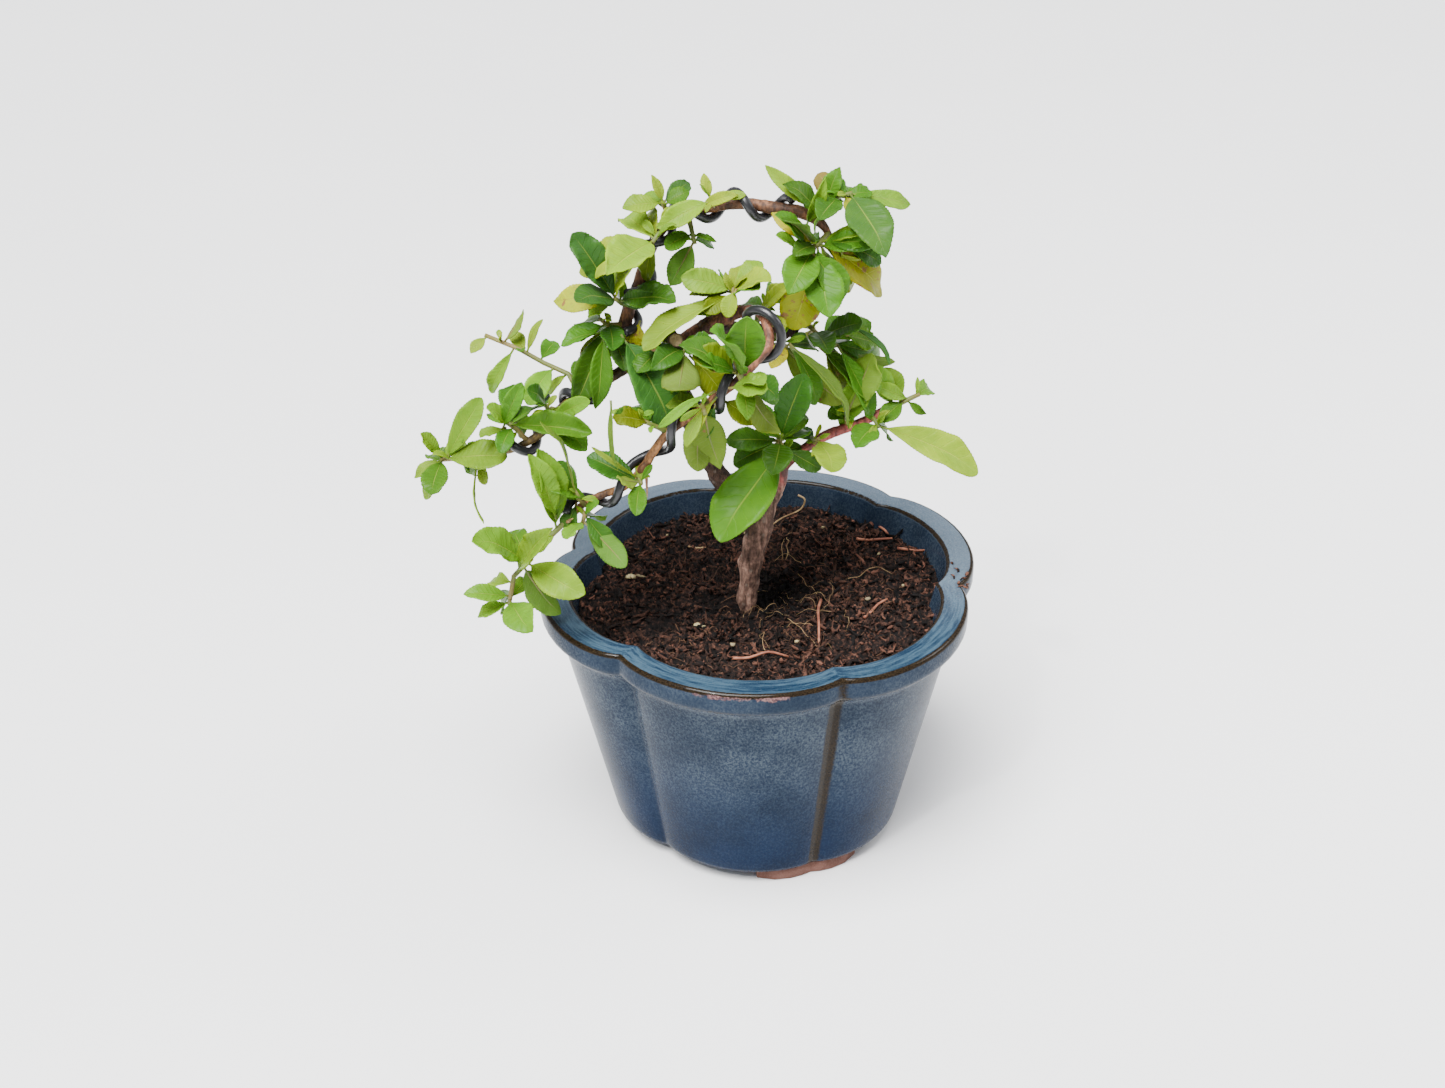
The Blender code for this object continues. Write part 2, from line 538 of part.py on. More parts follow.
def build_pot(group):
    lip = RIM_RADIUS
    top = POT_HEIGHT
    section = [
        (DRAIN_RADIUS, FOOT_HEIGHT), (BASE_RADIUS - 3.0, FOOT_HEIGHT), (BASE_RADIUS, FOOT_HEIGHT + 2.5),
        (WALL_TOP_RADIUS, top - LIP_HEIGHT - 3.0), (lip - 1.0, top - LIP_HEIGHT), (lip, top - LIP_HEIGHT + 1.5),
        (lip, top - 2.0), (lip - 1.5, top), (lip - RIM_WIDTH + 1.5, top), (lip - RIM_WIDTH, top - 1.2),
        (inner_radius(FLOOR_TOP + 1.5), FLOOR_TOP + 1.5), (inner_radius(FLOOR_TOP) - 1.5, FLOOR_TOP),
        (DRAIN_RADIUS, FLOOR_TOP),
    ]
    pot = object_from_bmesh("pot", turned(section, True), group,
                            make_material("blue_glaze", (0.05, 0.12, 0.24), 0.2))
    feet = make_collection("feet")
    for crease in FOOT_CREASES:
        build_foot(crease, feet)
    fuse(pot, feet)
    return pot


def build_foot(crease, group):
    shape = bmesh.new()
    bmesh.ops.create_cube(shape, size=1.0)
    along = [edge for edge in shape.edges if abs(edge.verts[0].co.x - edge.verts[1].co.x) > 0.5]
    bmesh.ops.subdivide_edges(shape, edges=along, cuts=5)
    for vert in shape.verts:
        turn = math.radians(60.0 * crease + FOOT_SPAN * vert.co.x)
        radius = FOOT_OUTER if vert.co.y > 0 else FOOT_INNER
        if abs(vert.co.x) > 0.49:
            radius += 0.25 * (40.0 - radius)
        x, y = lobed(radius * MM * math.cos(turn), radius * MM * math.sin(turn))
        vert.co = (x, y, (FOOT_HEIGHT + FOOT_SUNK if vert.co.z > 0 else 0.0) * MM)
    bmesh.ops.recalc_face_normals(shape, faces=shape.faces)
    return object_from_bmesh("foot", shape, group)


def build_screen(group):
    # a square plate with a lattice of openings
    base = FLOOR_TOP + CLEARANCE
    shape = bmesh.new()
    bmesh.ops.create_cube(shape, size=1.0)
    bmesh.ops.scale(shape, vec=(SCREEN_SIZE * MM, SCREEN_SIZE * MM, SCREEN_THICK * MM), verts=shape.verts)
    bmesh.ops.translate(shape, vec=(0, 0, (base + SCREEN_THICK / 2) * MM), verts=shape.verts)
    screen = object_from_bmesh("drain_screen", shape, group, make_material("black_plastic", (0.02, 0.02, 0.02), 0.6))
    holes = make_collection("screen_openings")
    pitch = (SCREEN_SIZE - SCREEN_BAR) / SCREEN_CELLS
    for row in range(SCREEN_CELLS):
        for column in range(SCREEN_CELLS):
            hole = bmesh.new()
            bmesh.ops.create_cube(hole, size=1.0)
            side = (pitch - SCREEN_BAR) * MM
            bmesh.ops.scale(hole, vec=(side, side, 3 * SCREEN_THICK * MM), verts=hole.verts)
            x = (column - (SCREEN_CELLS - 1) / 2) * pitch * MM
            y = (row - (SCREEN_CELLS - 1) / 2) * pitch * MM
            bmesh.ops.translate(hole, vec=(x, y, (base + SCREEN_THICK / 2) * MM), verts=hole.verts)
            object_from_bmesh("opening", hole, holes)
    fuse(screen, holes, "DIFFERENCE")
    return screen


def soil_height(x, y):
    # the top of the soil: a low dome with small swells, and a hollow beside the trunk
    reach = math.hypot(x, y) / RIM_RADIUS
    height = SOIL_TOP + SOIL_DOME * (1.0 - reach * reach)
    height += 0.5 * math.sin(0.21 * x + 1.0) * math.cos(0.17 * y) + 0.3 * math.sin(0.43 * x - 0.35 * y)
    away = math.hypot(x - TRUNK_X - DIP_SHIFT, y - TRUNK_Y)
    return height - DIP_DEPTH * math.exp(-(away / DIP_REACH) ** 2)


def build_soil(group):
    gap = CLEARANCE + 0.2
    floor = FLOOR_TOP + CLEARANCE
    over_screen = floor + SCREEN_THICK + CLEARANCE
    recess = SCREEN_SIZE * 0.5 * math.sqrt(2.0) + 1.5
    edge = inner_radius(SOIL_TOP - 1.0) - gap
    section = [(0.0, SOIL_TOP), (13.0, SOIL_TOP), (27.0, SOIL_TOP), (42.0, SOIL_TOP), (edge - 4.0, SOIL_TOP),
               (edge, SOIL_TOP - 1.0), (inner_radius(FLOOR_TOP + 2.0) - gap, FLOOR_TOP + 2.0),
               (BASE_RADIUS - POT_WALL - 3.0, floor), (recess, floor), (recess - 0.5, over_screen), (0.0, over_screen)]
    shape = turned(section, False)
    for vert in shape.verts:
        if vert.co.z > (SOIL_TOP - 0.5) * MM:
            vert.co.z = soil_height(vert.co.x / MM, vert.co.y / MM) * MM
    soil = object_from_bmesh("soil", shape, group, make_material("dark_soil", (0.035, 0.018, 0.012), 0.95))
    holes = make_collection("soil_holes")
    hole = bmesh.new()
    bmesh.ops.create_cone(hole, cap_ends=True, segments=16, radius1=HOLE_RADIUS * MM, radius2=HOLE_RADIUS * MM,
                          depth=2 * (SOIL_TOP - HOLE_BOTTOM) * MM)
    bmesh.ops.translate(hole, vec=(TRUNK_X * MM, TRUNK_Y * MM, SOIL_TOP * MM), verts=hole.verts)
    object_from_bmesh("trunk_hole", hole, holes)
    fuse(soil, holes, "DIFFERENCE")
    return soil


def limb_route(name):
    return smooth_route(LIMBS[name], LIMB_STEP)


def build_wood(group):
    pieces = make_collection("limbs")
    wood = None
    for name in LIMBS:
        route = limb_route(name)
        home = group if name == "trunk" else pieces
        limb = tube_mesh(name, route, [point[3] for point in route], home)
        wood = wood or limb
    for root in THORNS:
        build_thorn(root, pieces)
    wood.name = "wood"
    wood.data.materials.append(make_material("bark", (0.16, 0.1, 0.07), 0.85))
    fuse(wood, pieces)
    return wood


def direction(heading, rise):
    heading = math.radians(heading)
    rise = math.radians(rise)
    return Vector((math.cos(heading) * math.cos(rise), math.sin(heading) * math.cos(rise), math.sin(rise)))


def build_thorn(root, group):
    x, y, z, heading, rise, length = root
    way = direction(heading, rise)
    shape = bmesh.new()
    bmesh.ops.create_cone(shape, cap_ends=True, segments=5, radius1=THORN_RADIUS * MM, radius2=0.15 * MM,
                          depth=length * MM)
    bmesh.ops.translate(shape, vec=(0, 0, length * MM / 2), verts=shape.verts)
    turn = way.to_track_quat("Z", "Y").to_matrix().to_4x4()
    bmesh.ops.transform(shape, matrix=Matrix.Translation(Vector((x, y, z)) * MM) @ turn, verts=shape.verts)
    return object_from_bmesh("thorn", shape, group)


def crossing(shares, turn):
    # where along the limb a wire is after a number of turns, counted from its first front crossing
    index = min(max(int(math.floor(turn)), 0), len(shares) - 2)
    return shares[index] + (shares[index + 1] - shares[index]) * (turn - index)


def build_wire(name, group, material):
    # a helix laid on the limb's surface; its angle is measured from the side that faces the light
    limb, way, shares, first, last = WIRES[name]
    route = limb_route(limb)
    count = round((last - first) * TURN_POINTS)
    over_chord = 1.0 / math.cos(math.pi / TURN_POINTS)
    points = []
    for index in range(count + 1):
        turn = first + (last - first) * index / count
        share = crossing(shares, turn)
        here = place_on(route, share)
        ahead = place_on(route, min(1.0, share + 0.01)).xyz - place_on(route, max(0.0, share - 0.01)).xyz
        ahead.normalize()
        side = ahead.cross(VIEW_SIDE).normalized()
        front = side.cross(ahead)
        angle = math.tau * way * turn
        reach = (here[3] + WIRE_RADIUS + WIRE_GAP) * over_chord
        points.append(here.xyz + reach * (math.cos(angle) * front + math.sin(angle) * side))
    wire = tube(name, points, [WIRE_RADIUS] * len(points), group, 1)
    wire.data.materials.append(material)
    return wire


def leaf_rows(length):
    # the shares of the length at which a blade has a row of points, closer together towards the tip
    count = 3 if length < 12 else 4 if length < 24 else 5 if length < 34 else 6
    return [math.sin(0.5 * math.pi * index / count) for index in range(count + 1)]


def blade_width(share):
    # 0 to 1: widest past the middle, with a straight taper to the stalk and a round tip
    if share >= 1.0:
        return 0.0
    return share ** 0.8 * (1.0 - share) ** 0.5 / 0.4205


def leaf_frame(heading, rise, roll):
    along = direction(heading, rise)
    normal = LIGHT - LIGHT.dot(along) * along
    if normal.length < 0.05:
        normal = Vector((0.0, 0.0, 1.0)).cross(along)
    normal.normalize()
    normal.rotate(Matrix.Rotation(math.radians(roll), 3, along))
    return along, along.cross(normal), normal


def build_leaf(base, leaf, turn, group, extra=0.0, outer=False):
    # one blade; extra makes it larger and thicker all round, to test that the real one is clear, and
    # outer leaves off the part beside the stem
    _, heading, rise, length, width, roll, arch, fold = leaf
    along, side, normal = leaf_frame(heading + turn[0], rise + turn[1], roll + turn[2])
    rows = leaf_rows(length)
    columns = 1 if width < NARROW else 2
    lean = 0.0 if columns == 1 else math.radians(fold)
    shape = bmesh.new()
    bmesh.ops.create_grid(shape, x_segments=columns, y_segments=len(rows) - 1, size=0.5)
    for vert in shape.verts:
        row = round((vert.co.y + 0.5) * (len(rows) - 1))
        across = 2.0 * vert.co.x
        share = rows[row]
        half = 0.5 * width * blade_width(share)
        if row % 2 == 0:
            half *= 1.0 - TOOTH
        half = max(half, STALK_HALF) + extra if row < len(rows) - 1 else 0.0
        reach = LEAF_START + (length - LEAF_START + (extra if row == len(rows) - 1 else 0.0)) * share
        lift = 0.04 * arch / 4.0 * length * share * (1.0 - share) + abs(across) * half * math.sin(lean)
        point = base + along * reach + normal * lift + side * (across * half * math.cos(lean))
        vert.co = point * MM
    if outer:
        stalk = [vert for vert in shape.verts if (vert.co / MM - base).length < LEAF_START + 0.2 * length]
        bmesh.ops.delete(shape, geom=stalk, context="VERTS")
    bmesh.ops.remove_doubles(shape, verts=shape.verts, dist=0.00001)
    bmesh.ops.triangulate(shape, faces=shape.faces)
    item = object_from_bmesh("leaf", shape, group)
    solid = item.modifiers.new("thickness", "SOLIDIFY")
    solid.thickness = (BLADE_THICK + 2.0 * extra) * MM
    solid.offset = 0.0
    solid.use_even_offset = False
    bake(item)
    return item


def surface_tree(item):
    shape = bmesh.new()
    shape.from_mesh(evaluated_mesh(item))
    tree = BVHTree.FromBMesh(shape)
    shape.free()
    return tree


def stem_route(points, wood_tree):
    # a shoot starts just clear of its limb's surface and square to it, then follows its own points
    spot, outward, _, _ = wood_tree.find_nearest(Vector(points[1]) * MM)
    foot = spot / MM + outward * (CLEARANCE + 0.1)
    later = [Vector(point) for point in points[1:]]
    route = [foot, foot + outward * STEM_LIFT]
    route += [point for point in later if (point - foot).length > 1.5 * STEM_LIFT]
    return route


def touches(tree, others):
    return any(tree.overlap(other) for other in others)


def build_shoots(group, fixed_trees, wood_tree, material):
    # the stems come first, so that every leaf can be kept clear of every stem
    stems = {}
    trees = {}
    for name, (points, _) in SHOOTS.items():
        route = stem_route(points, wood_tree)
        fall = (STEM_RADII[1] - STEM_RADII[0]) / (len(route) - 1)
        radii = [STEM_RADII[0] + fall * index for index in range(len(route))]
        stems[name] = (tube_mesh(name, route, radii, group, 0), route)
        stems[name][0].data.materials.append(material)
        trees[name] = [surface_tree(stems[name][0])]
    trial = make_collection("trial")
    for name, (_, leaves) in SHOOTS.items():
        stem, route = stems[name]
        blades = make_collection("blades")
        others = fixed_trees + [tree for key in trees if key != name for tree in trees[key]]
        own_outer = []
        for leaf in leaves:
            share = min(leaf[0], 1.0 - STEM_END / route_length(route))
            add_clear_leaf(place_on(route, share).xyz, leaf, others, blades, trial, trees[name], own_outer)
        fuse(stem, blades)
    bpy.data.collections.remove(trial)


def trial_tree(base, leaf, turn, trial, outer):
    test = build_leaf(base, leaf, turn, trial, CLEARANCE, outer)
    tree = surface_tree(test)
    bpy.data.objects.remove(test, do_unlink=True)
    return tree


def add_clear_leaf(base, leaf, others, blades, trial, own_trees, own_outer):
    # tries the turns in their order: the first that clears every other solid and the outer parts of the
    # shoot's own leaves, or failing that the first that clears every other solid
    chosen = None
    for turn in TURNS:
        if touches(trial_tree(base, leaf, turn, trial, False), others):
            continue
        chosen = chosen or turn
        outer = trial_tree(base, leaf, turn, trial, True)
        if not touches(outer, own_outer):
            chosen = turn
            break
    if chosen:
        blade = build_leaf(base, leaf, chosen, blades)
        own_trees.append(surface_tree(blade))
        own_outer.append(trial_tree(base, leaf, chosen, trial, True))


def stand_on_origin(group):
    # one empty carries every piece to its place beside the part's origin
    plant = bpy.data.objects.new("plant", None)
    bpy.context.scene.collection.objects.link(plant)
    plant.location = (POT_X * MM, POT_Y * MM, 0.0)
    for item in group.objects:
        item.parent = plant


def shade_round(item):
    if item.type == "MESH":
        item.data.shade_smooth()
        item.data.set_sharp_from_angle(angle=math.radians(35.0))


def main():
    remove_scene_objects()
    group = make_collection("firethorn_bonsai")
    pot = build_pot(group)
    screen = build_screen(group)
    soil = build_soil(group)
    wood = build_wood(group)
    black = make_material("black_wire", (0.015, 0.015, 0.017), 0.35, 0.4)
    wires = [build_wire(name, group, black) for name in WIRES]
    fixed_trees = [surface_tree(item) for item in [pot, soil, wood] + wires]
    leaf_green = make_material("leaf", (0.12, 0.3, 0.05), 0.45)
    build_shoots(group, fixed_trees, fixed_trees[2], leaf_green)
    for item in [pot, screen, soil, wood]:
        shade_round(item)
    stand_on_origin(group)


main()
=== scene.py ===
import math
import random

import bmesh
import bpy
from mathutils import Matrix, Vector, noise
from mathutils.bvhtree import BVHTree
from mathutils.kdtree import KDTree


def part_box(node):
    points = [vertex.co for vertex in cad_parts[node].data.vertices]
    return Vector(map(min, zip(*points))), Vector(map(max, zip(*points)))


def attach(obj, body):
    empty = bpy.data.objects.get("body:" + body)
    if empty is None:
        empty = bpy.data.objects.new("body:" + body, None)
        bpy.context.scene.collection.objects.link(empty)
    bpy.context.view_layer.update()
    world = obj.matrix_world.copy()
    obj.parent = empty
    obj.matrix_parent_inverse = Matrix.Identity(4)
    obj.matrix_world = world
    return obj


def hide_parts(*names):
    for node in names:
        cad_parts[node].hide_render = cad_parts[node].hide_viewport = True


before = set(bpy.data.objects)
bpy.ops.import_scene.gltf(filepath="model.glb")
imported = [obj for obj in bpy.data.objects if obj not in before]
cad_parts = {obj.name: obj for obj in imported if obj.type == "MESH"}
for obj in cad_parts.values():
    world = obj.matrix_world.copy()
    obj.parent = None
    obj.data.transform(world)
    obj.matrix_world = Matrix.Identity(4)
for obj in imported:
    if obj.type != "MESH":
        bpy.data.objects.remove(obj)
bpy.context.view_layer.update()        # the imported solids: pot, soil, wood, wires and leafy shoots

# Sizes below are in millimetres, measured from the pot's axis and from the ground.
mm = 0.001
weld = 0.001 * mm           # vertices closer than this are one
screenLow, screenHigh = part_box("drain_screen")      # the mesh over the drain hole, on the pot's axis
potAxis = Vector(((screenLow.x + screenHigh.x) / 2, (screenLow.y + screenHigh.y) / 2, 0.0))
rootBody = "root"
dice = random.Random(11)
noise.seed_set(11)      # or else noise_vector would go by the clock


def toWorld(point):
    return potAxis + Vector(point[:3]) * mm


def toPlant(point):
    return (Vector(point) - potAxis) / mm


def smoothstep(low, high, value):
    share = min(1.0, max(0.0, (value - low) / (high - low)))
    return share * share * (3.0 - 2.0 * share)


class Sock:
    # one output socket of a node, so that shader maths reads as plain sums
    def __init__(self, finish, out):
        self.finish = finish
        self.out = out

    def sums(self, operation, *values):
        return self.finish.node("Math", {"operation": operation}, dict(enumerate(values)))

    def __add__(self, other):
        return self.sums("ADD", self, other)

    def __sub__(self, other):
        return self.sums("SUBTRACT", self, other)

    def __rsub__(self, other):
        return self.sums("SUBTRACT", other, self)

    def __mul__(self, other):
        return self.sums("MULTIPLY", self, other)

    def __pow__(self, other):
        return self.sums("POWER", self, other)

    __radd__ = __add__

    def least(self, other):
        return self.sums("MINIMUM", self, other)

    def most(self, other):
        return self.sums("MAXIMUM", self, other)

    def size(self):
        return self.sums("ABSOLUTE", self)

    def fraction(self):
        return self.sums("FRACT", self)

    def wave(self):
        return self.sums("SINE", self)

    def between(self, low, high):
        # 0 below low, 1 above high, and smooth in between; low may also be the larger of the two
        return self.finish.node("MapRange", {"interpolation_type": "SMOOTHSTEP"},
                                {"Value": self, "From Min": low, "From Max": high})


class Finish:
    # a material and the nodes that feed its shader
    def __init__(self, name, **fixed):
        self.material = bpy.data.materials.new(name)
        self.material.use_nodes = True
        self.tree = self.material.node_tree
        self.shader = self.tree.nodes["Principled BSDF"]
        for words, value in fixed.items():
            self.plug(self.shader.inputs[words.replace("_", " ")], value)

    def plug(self, socket, value):
        if isinstance(value, Sock):
            self.tree.links.new(value.out, socket)
        elif isinstance(value, (tuple, list)) and len(value) == 3 and socket.type == "RGBA":
            socket.default_value = (*value, 1.0)
        else:
            socket.default_value = value

    def node(self, kind, settings=None, values=None, output=0):
        made = self.tree.nodes.new("ShaderNode" + kind)
        for name, value in (settings or {}).items():
            setattr(made, name, value)
        for name, value in (values or {}).items():
            self.plug(made.inputs[name], value)
        return Sock(self, made.outputs[output])

    def places(self, stretch=(1.0, 1.0, 1.0)):
        # the point on the piece in millimetres
        spot = self.node("TexCoord", output="Object")
        scaled = tuple(part / mm for part in stretch)
        return self.node("VectorMath", {"operation": "MULTIPLY"}, {0: spot, 1: scaled})

    def grain(self, scale, detail=3.0, vector=None, roughness=0.5):
        return self.node("TexNoise", None, {"Vector": vector or self.places(), "Scale": scale,
                                            "Detail": detail, "Roughness": roughness})

    def cells(self, scale, feature="F1", vector=None):
        return self.node("TexVoronoi", {"feature": feature},
                         {"Vector": vector or self.places(), "Scale": scale})

    def mixed(self, factor, first, second, blend="MIX"):
        # two colours by a factor; 6 and 7 are the node's colour sockets
        return self.node("Mix", {"data_type": "RGBA", "blend_type": blend},
                         {0: factor, 6: first, 7: second}, 2)

    def times(self, first, second):
        return self.mixed(1.0, first, second, "MULTIPLY")

    def mark(self, name, output="Fac"):
        return self.node("Attribute", {"attribute_name": name}, None, output)

    def bump(self, height, distance, strength):
        relief = self.node("Bump", None, {"Height": height, "Distance": distance * mm,
                                          "Strength": strength})
        self.plug(self.shader.inputs["Normal"], relief)

    def feed(self, **links):
        for words, value in links.items():
            self.plug(self.shader.inputs[words.replace("_", " ")], value)
        return self.material


def meshOf(shape, name):
    # a mesh of a bmesh that is done with
    mesh = bpy.data.meshes.new(name)
    shape.to_mesh(mesh)
    shape.free()
    return mesh


def addItem(name, data):
    # puts a new object in the scene
    item = bpy.data.objects.new(name, data)
    bpy.context.scene.collection.objects.link(item)
    return item


def addMesh(shape, mesh):
    # adds a small mesh to a bmesh and drops it
    shape.from_mesh(mesh)
    bpy.data.meshes.remove(mesh)


def pieceFrom(name, shape, materials, nodes):
    # makes an object of a bmesh, rides it on the plant's body and hides the imported solids it replaces
    mesh = meshOf(shape, name)
    for material in materials:
        mesh.materials.append(material)
    mesh.shade_smooth()
    piece = addItem(name, mesh)
    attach(piece, rootBody)
    if nodes:
        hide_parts(*nodes)


def bakedMesh(item):
    # what an object's modifiers, or a curve's thickness, make of it
    ready = item.evaluated_get(bpy.context.evaluated_depsgraph_get())
    mesh = bpy.data.meshes.new_from_object(ready)
    bpy.data.objects.remove(item, do_unlink=True)
    return mesh


def tubes(routes, sides):
    # a bmesh of round tubes; each route is a list of (x, y, z, radius)
    curve = bpy.data.curves.new("tubes", "CURVE")
    curve.dimensions = "3D"
    curve.bevel_depth = mm
    curve.bevel_resolution = sides // 2 - 2
    curve.use_fill_caps = True
    curve.resolution_u = 1
    for route in routes:
        spline = curve.splines.new("POLY")
        spline.points.add(len(route) - 1)
        for target, point in zip(spline.points, route):
            target.co = (*toWorld(point), 1.0)
            target.radius = point[3]
    shape = bmesh.new()
    addMesh(shape, bakedMesh(addItem("tubes", curve)))
    bmesh.ops.remove_doubles(shape, verts=shape.verts, dist=2 * weld)
    bmesh.ops.recalc_face_normals(shape, faces=shape.faces)
    return shape


def smoothRoute(points, step):
    # a Catmull-Rom curve through the points, with any radius carried along
    knots = [Vector(point) for point in points]
    ends = [2 * knots[0] - knots[1]] + knots + [2 * knots[-1] - knots[-2]]
    route = [knots[0]]
    for index in range(len(knots) - 1):
        before, start, end, after = ends[index:index + 4]
        pieces = max(1, round((end - start).length / step))
        for piece in range(1, pieces + 1):
            t = piece / pieces
            point = start * (2 - 5 * t ** 2 + 3 * t ** 3) + end * (t + 4 * t ** 2 - 3 * t ** 3)
            point += before * (-t + 2 * t ** 2 - t ** 3) + after * (t ** 3 - t ** 2)
            route.append(point * 0.5)
    return route


def routeLength(route):
    return sum((b.xyz - a.xyz).length for a, b in zip(route, route[1:]))


def placeOn(route, share):
    # the point at a share of the route's length
    left = share * routeLength(route)
    for start, end in zip(route, route[1:]):
        length = (end.xyz - start.xyz).length
        if left <= length:
            return start.lerp(end, left / length)
        left -= length
    return route[-1]


def direction(heading, rise):
    heading = math.radians(heading)
    rise = math.radians(rise)
    return Vector((math.cos(heading) * math.cos(rise), math.sin(heading) * math.cos(rise), math.sin(rise)))


def nodeTree(name):
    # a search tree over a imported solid's surface
    return BVHTree.FromPolygons([vert.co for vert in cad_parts[name].data.vertices],
                                [face.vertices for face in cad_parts[name].data.polygons])


print("camera, floor and light")
view = {
    "place": (-14.28, -575.27, 463.28),
    "elevation": 31.75,
    "lens": 49.83,
    "floorSize": 6000.0,
    "sky": 0.68,
    "farLights": {          # like suns: place, height aimed at, spread in degrees and strength
        "topLight": ((-150, -250, 1000), 100, 34.0, 7.9),
        "glintLight": ((-260, -420, 700), 100, 2.5, 0.8),      # small, so that the glaze shows glints
    },
    "softLights": {         # place, height aimed at, size and power
        "keyLight": ((-320, -480, 800), 120, (350, 300), 6.0),
        "sideLight": ((650, 150, 600), 120, (300, 300), 3.0),
    },
}


def addCamera():
    camera = addItem("camera", bpy.data.cameras.new("camera"))
    camera.data.lens = view["lens"]
    camera.data.sensor_width = 36.0
    camera.data.clip_end = 20.0
    camera.location = toWorld(view["place"])
    camera.rotation_euler = (math.radians(90.0 - view["elevation"]), 0.0, 0.0)
    bpy.context.scene.camera = camera


def addFloor():
    shape = bmesh.new()
    bmesh.ops.create_grid(shape, x_segments=1, y_segments=1, size=view["floorSize"] / 2 * mm)
    mesh = meshOf(shape, "floor")
    pale = Finish("paleFloor", Roughness=0.35, Specular_IOR_Level=0.35)
    cloud = pale.grain(0.006, 4.0)
    mesh.materials.append(pale.feed(Base_Color=pale.mixed(cloud, (0.90, 0.90, 0.90), (0.95, 0.95, 0.95))))
    addItem("floor", mesh)


def addWorld():
    world = bpy.data.worlds.new("studio")
    world.use_nodes = True
    sky = world.node_tree.nodes["Background"]
    sky.inputs["Color"].default_value = (0.93, 0.95, 1.0, 1.0)
    sky.inputs["Strength"].default_value = view["sky"]
    bpy.context.scene.world = world


def aimLamp(name, lamp, place, aim):
    item = addItem(name, lamp)
    item.location = toWorld(place)
    away = toWorld((0, 0, aim)) - item.location
    item.rotation_euler = away.to_track_quat("-Z", "Y").to_euler()


def addLights():
    for name, (place, aim, spread, strength) in view["farLights"].items():
        lamp = bpy.data.lights.new(name, "SUN")
        lamp.angle = math.radians(spread)
        lamp.energy = strength
        aimLamp(name, lamp, place, aim)
    for name, (place, aim, size, power) in view["softLights"].items():
        lamp = bpy.data.lights.new(name, "AREA")
        lamp.shape = "RECTANGLE"
        lamp.size = size[0] * mm
        lamp.size_y = size[1] * mm
        lamp.energy = power
        aimLamp(name, lamp, place, aim)


addCamera()
addFloor()
addWorld()
addLights()


print("pot")
pot = {
    "height": 96.0,
    "creaseHeadings": (-69.5, -6.5, 48.0, 107.0, 167.0, 226.5),
    "creaseRadii": (67.5, 67.0, 70.5, 67.5, 68.5, 69.0),
    "lobeBulges": (5.5, 6.5, 4.0, 5.0, 8.5, 4.0),
    "lobeTurn": 0.4,
    "creaseSoft": 0.016,    # share of a lobe that each crease is rounded over
    "rimRadius": 70.0,      # mean crease radius that the section is drawn at
    "rimWidth": 9.0,
    "lipHeight": 8.0,
    "wallTop": 65.0,
    "base": 49.5,
    "wall": 5.5,
    "footHeight": 4.6,
    "floorTop": 11.5,
    "drain": 9.0,
    "lobedFrom": 20.0,
    "columns": 22,          # across one lobe, closer together beside the creases
    "cornerSteps": 4,
    "sectionStep": 4.0,     # longest run between two points of the section
    "footCreases": (0, 2, 4),
    "footSpan": 50.0,
    "footOuter": 48.4,
    "footInner": 34.0,
    "creaseGlaze": (1.0, 0.35, 0.5, 0.6, 0.3, 0.35),    # how brown the glaze breaks along each crease
    "creaseBand": (0.05, 0.17),     # columns from a crease over which that brown fades
    "missed": (5.4, 5.7),           # columns where the glaze missed the lip's edge
    "missedDepth": (2.2, 4.6),      # and how far down from the top
    "lowBand": (10.0, 70.0),        # the glaze is darker and plainer towards the lower height
    "footMiddle": 40.0,
    "footPull": 0.25,               # how far a foot's ends are drawn towards its middle radius
}


def lobed(radius, column):
    # the pot's outline: a place in millimetres from a turned radius and a column counted from crease 0
    lobe = int(column + 0.0001) % 6
    share = 0.5 - 0.5 * math.cos(math.pi * min(1.0, max(0.0, column - int(column + 0.0001))))
    after = (lobe + 1) % 6
    first = pot["creaseHeadings"][lobe]
    width = (pot["creaseHeadings"][after] - first) % 360.0
    heading = math.radians(first + width * share)
    crease = pot["creaseRadii"][lobe] + (pot["creaseRadii"][after] - pot["creaseRadii"][lobe]) * share
    least = math.sin(math.pi * pot["creaseSoft"]) ** pot["lobeTurn"]
    rise = math.sin(math.pi * math.hypot(min(share, 1.0 - share), pot["creaseSoft"])) ** pot["lobeTurn"]
    swell = pot["lobeBulges"][lobe] * (rise - least) / (1.0 - least)
    amount = min(1.0, max(0.0, (radius - pot["lobedFrom"]) / (pot["base"] - pot["lobedFrom"])))
    gain = 1.0 + amount * ((crease + swell * min(1.0, radius / pot["wallTop"])) / pot["rimRadius"] - 1.0)
    return radius * gain * math.cos(heading), radius * gain * math.sin(heading)


def roundedLine(corners):
    # a section through (radius, height, rounding, brown) corners, each rounded as a small curve
    line = []
    for index, corner in enumerate(corners):
        here = Vector(corner[:2])
        before = Vector(corners[index - 1][:2])
        after = Vector(corners[(index + 1) % len(corners)][:2])
        back = here + (before - here).normalized() * corner[2]
        ahead = here + (after - here).normalized() * corner[2]
        for step in range(pot["cornerSteps"] + 1):
            t = step / pot["cornerSteps"]
            point = back * (1 - t) ** 2 + here * 2 * t * (1 - t) + ahead * t ** 2
            line.append((point.x, point.y, min(1.0, corner[3] * 4 * t * (1 - t))))
    return line


def innerRadius(height):
    low = (pot["floorTop"] + 1.5, pot["base"] - pot["wall"])
    high = (pot["height"] - 1.2, pot["rimRadius"] - pot["rimWidth"])
    return low[1] + (high[1] - low[1]) * (height - low[0]) / (high[0] - low[0])


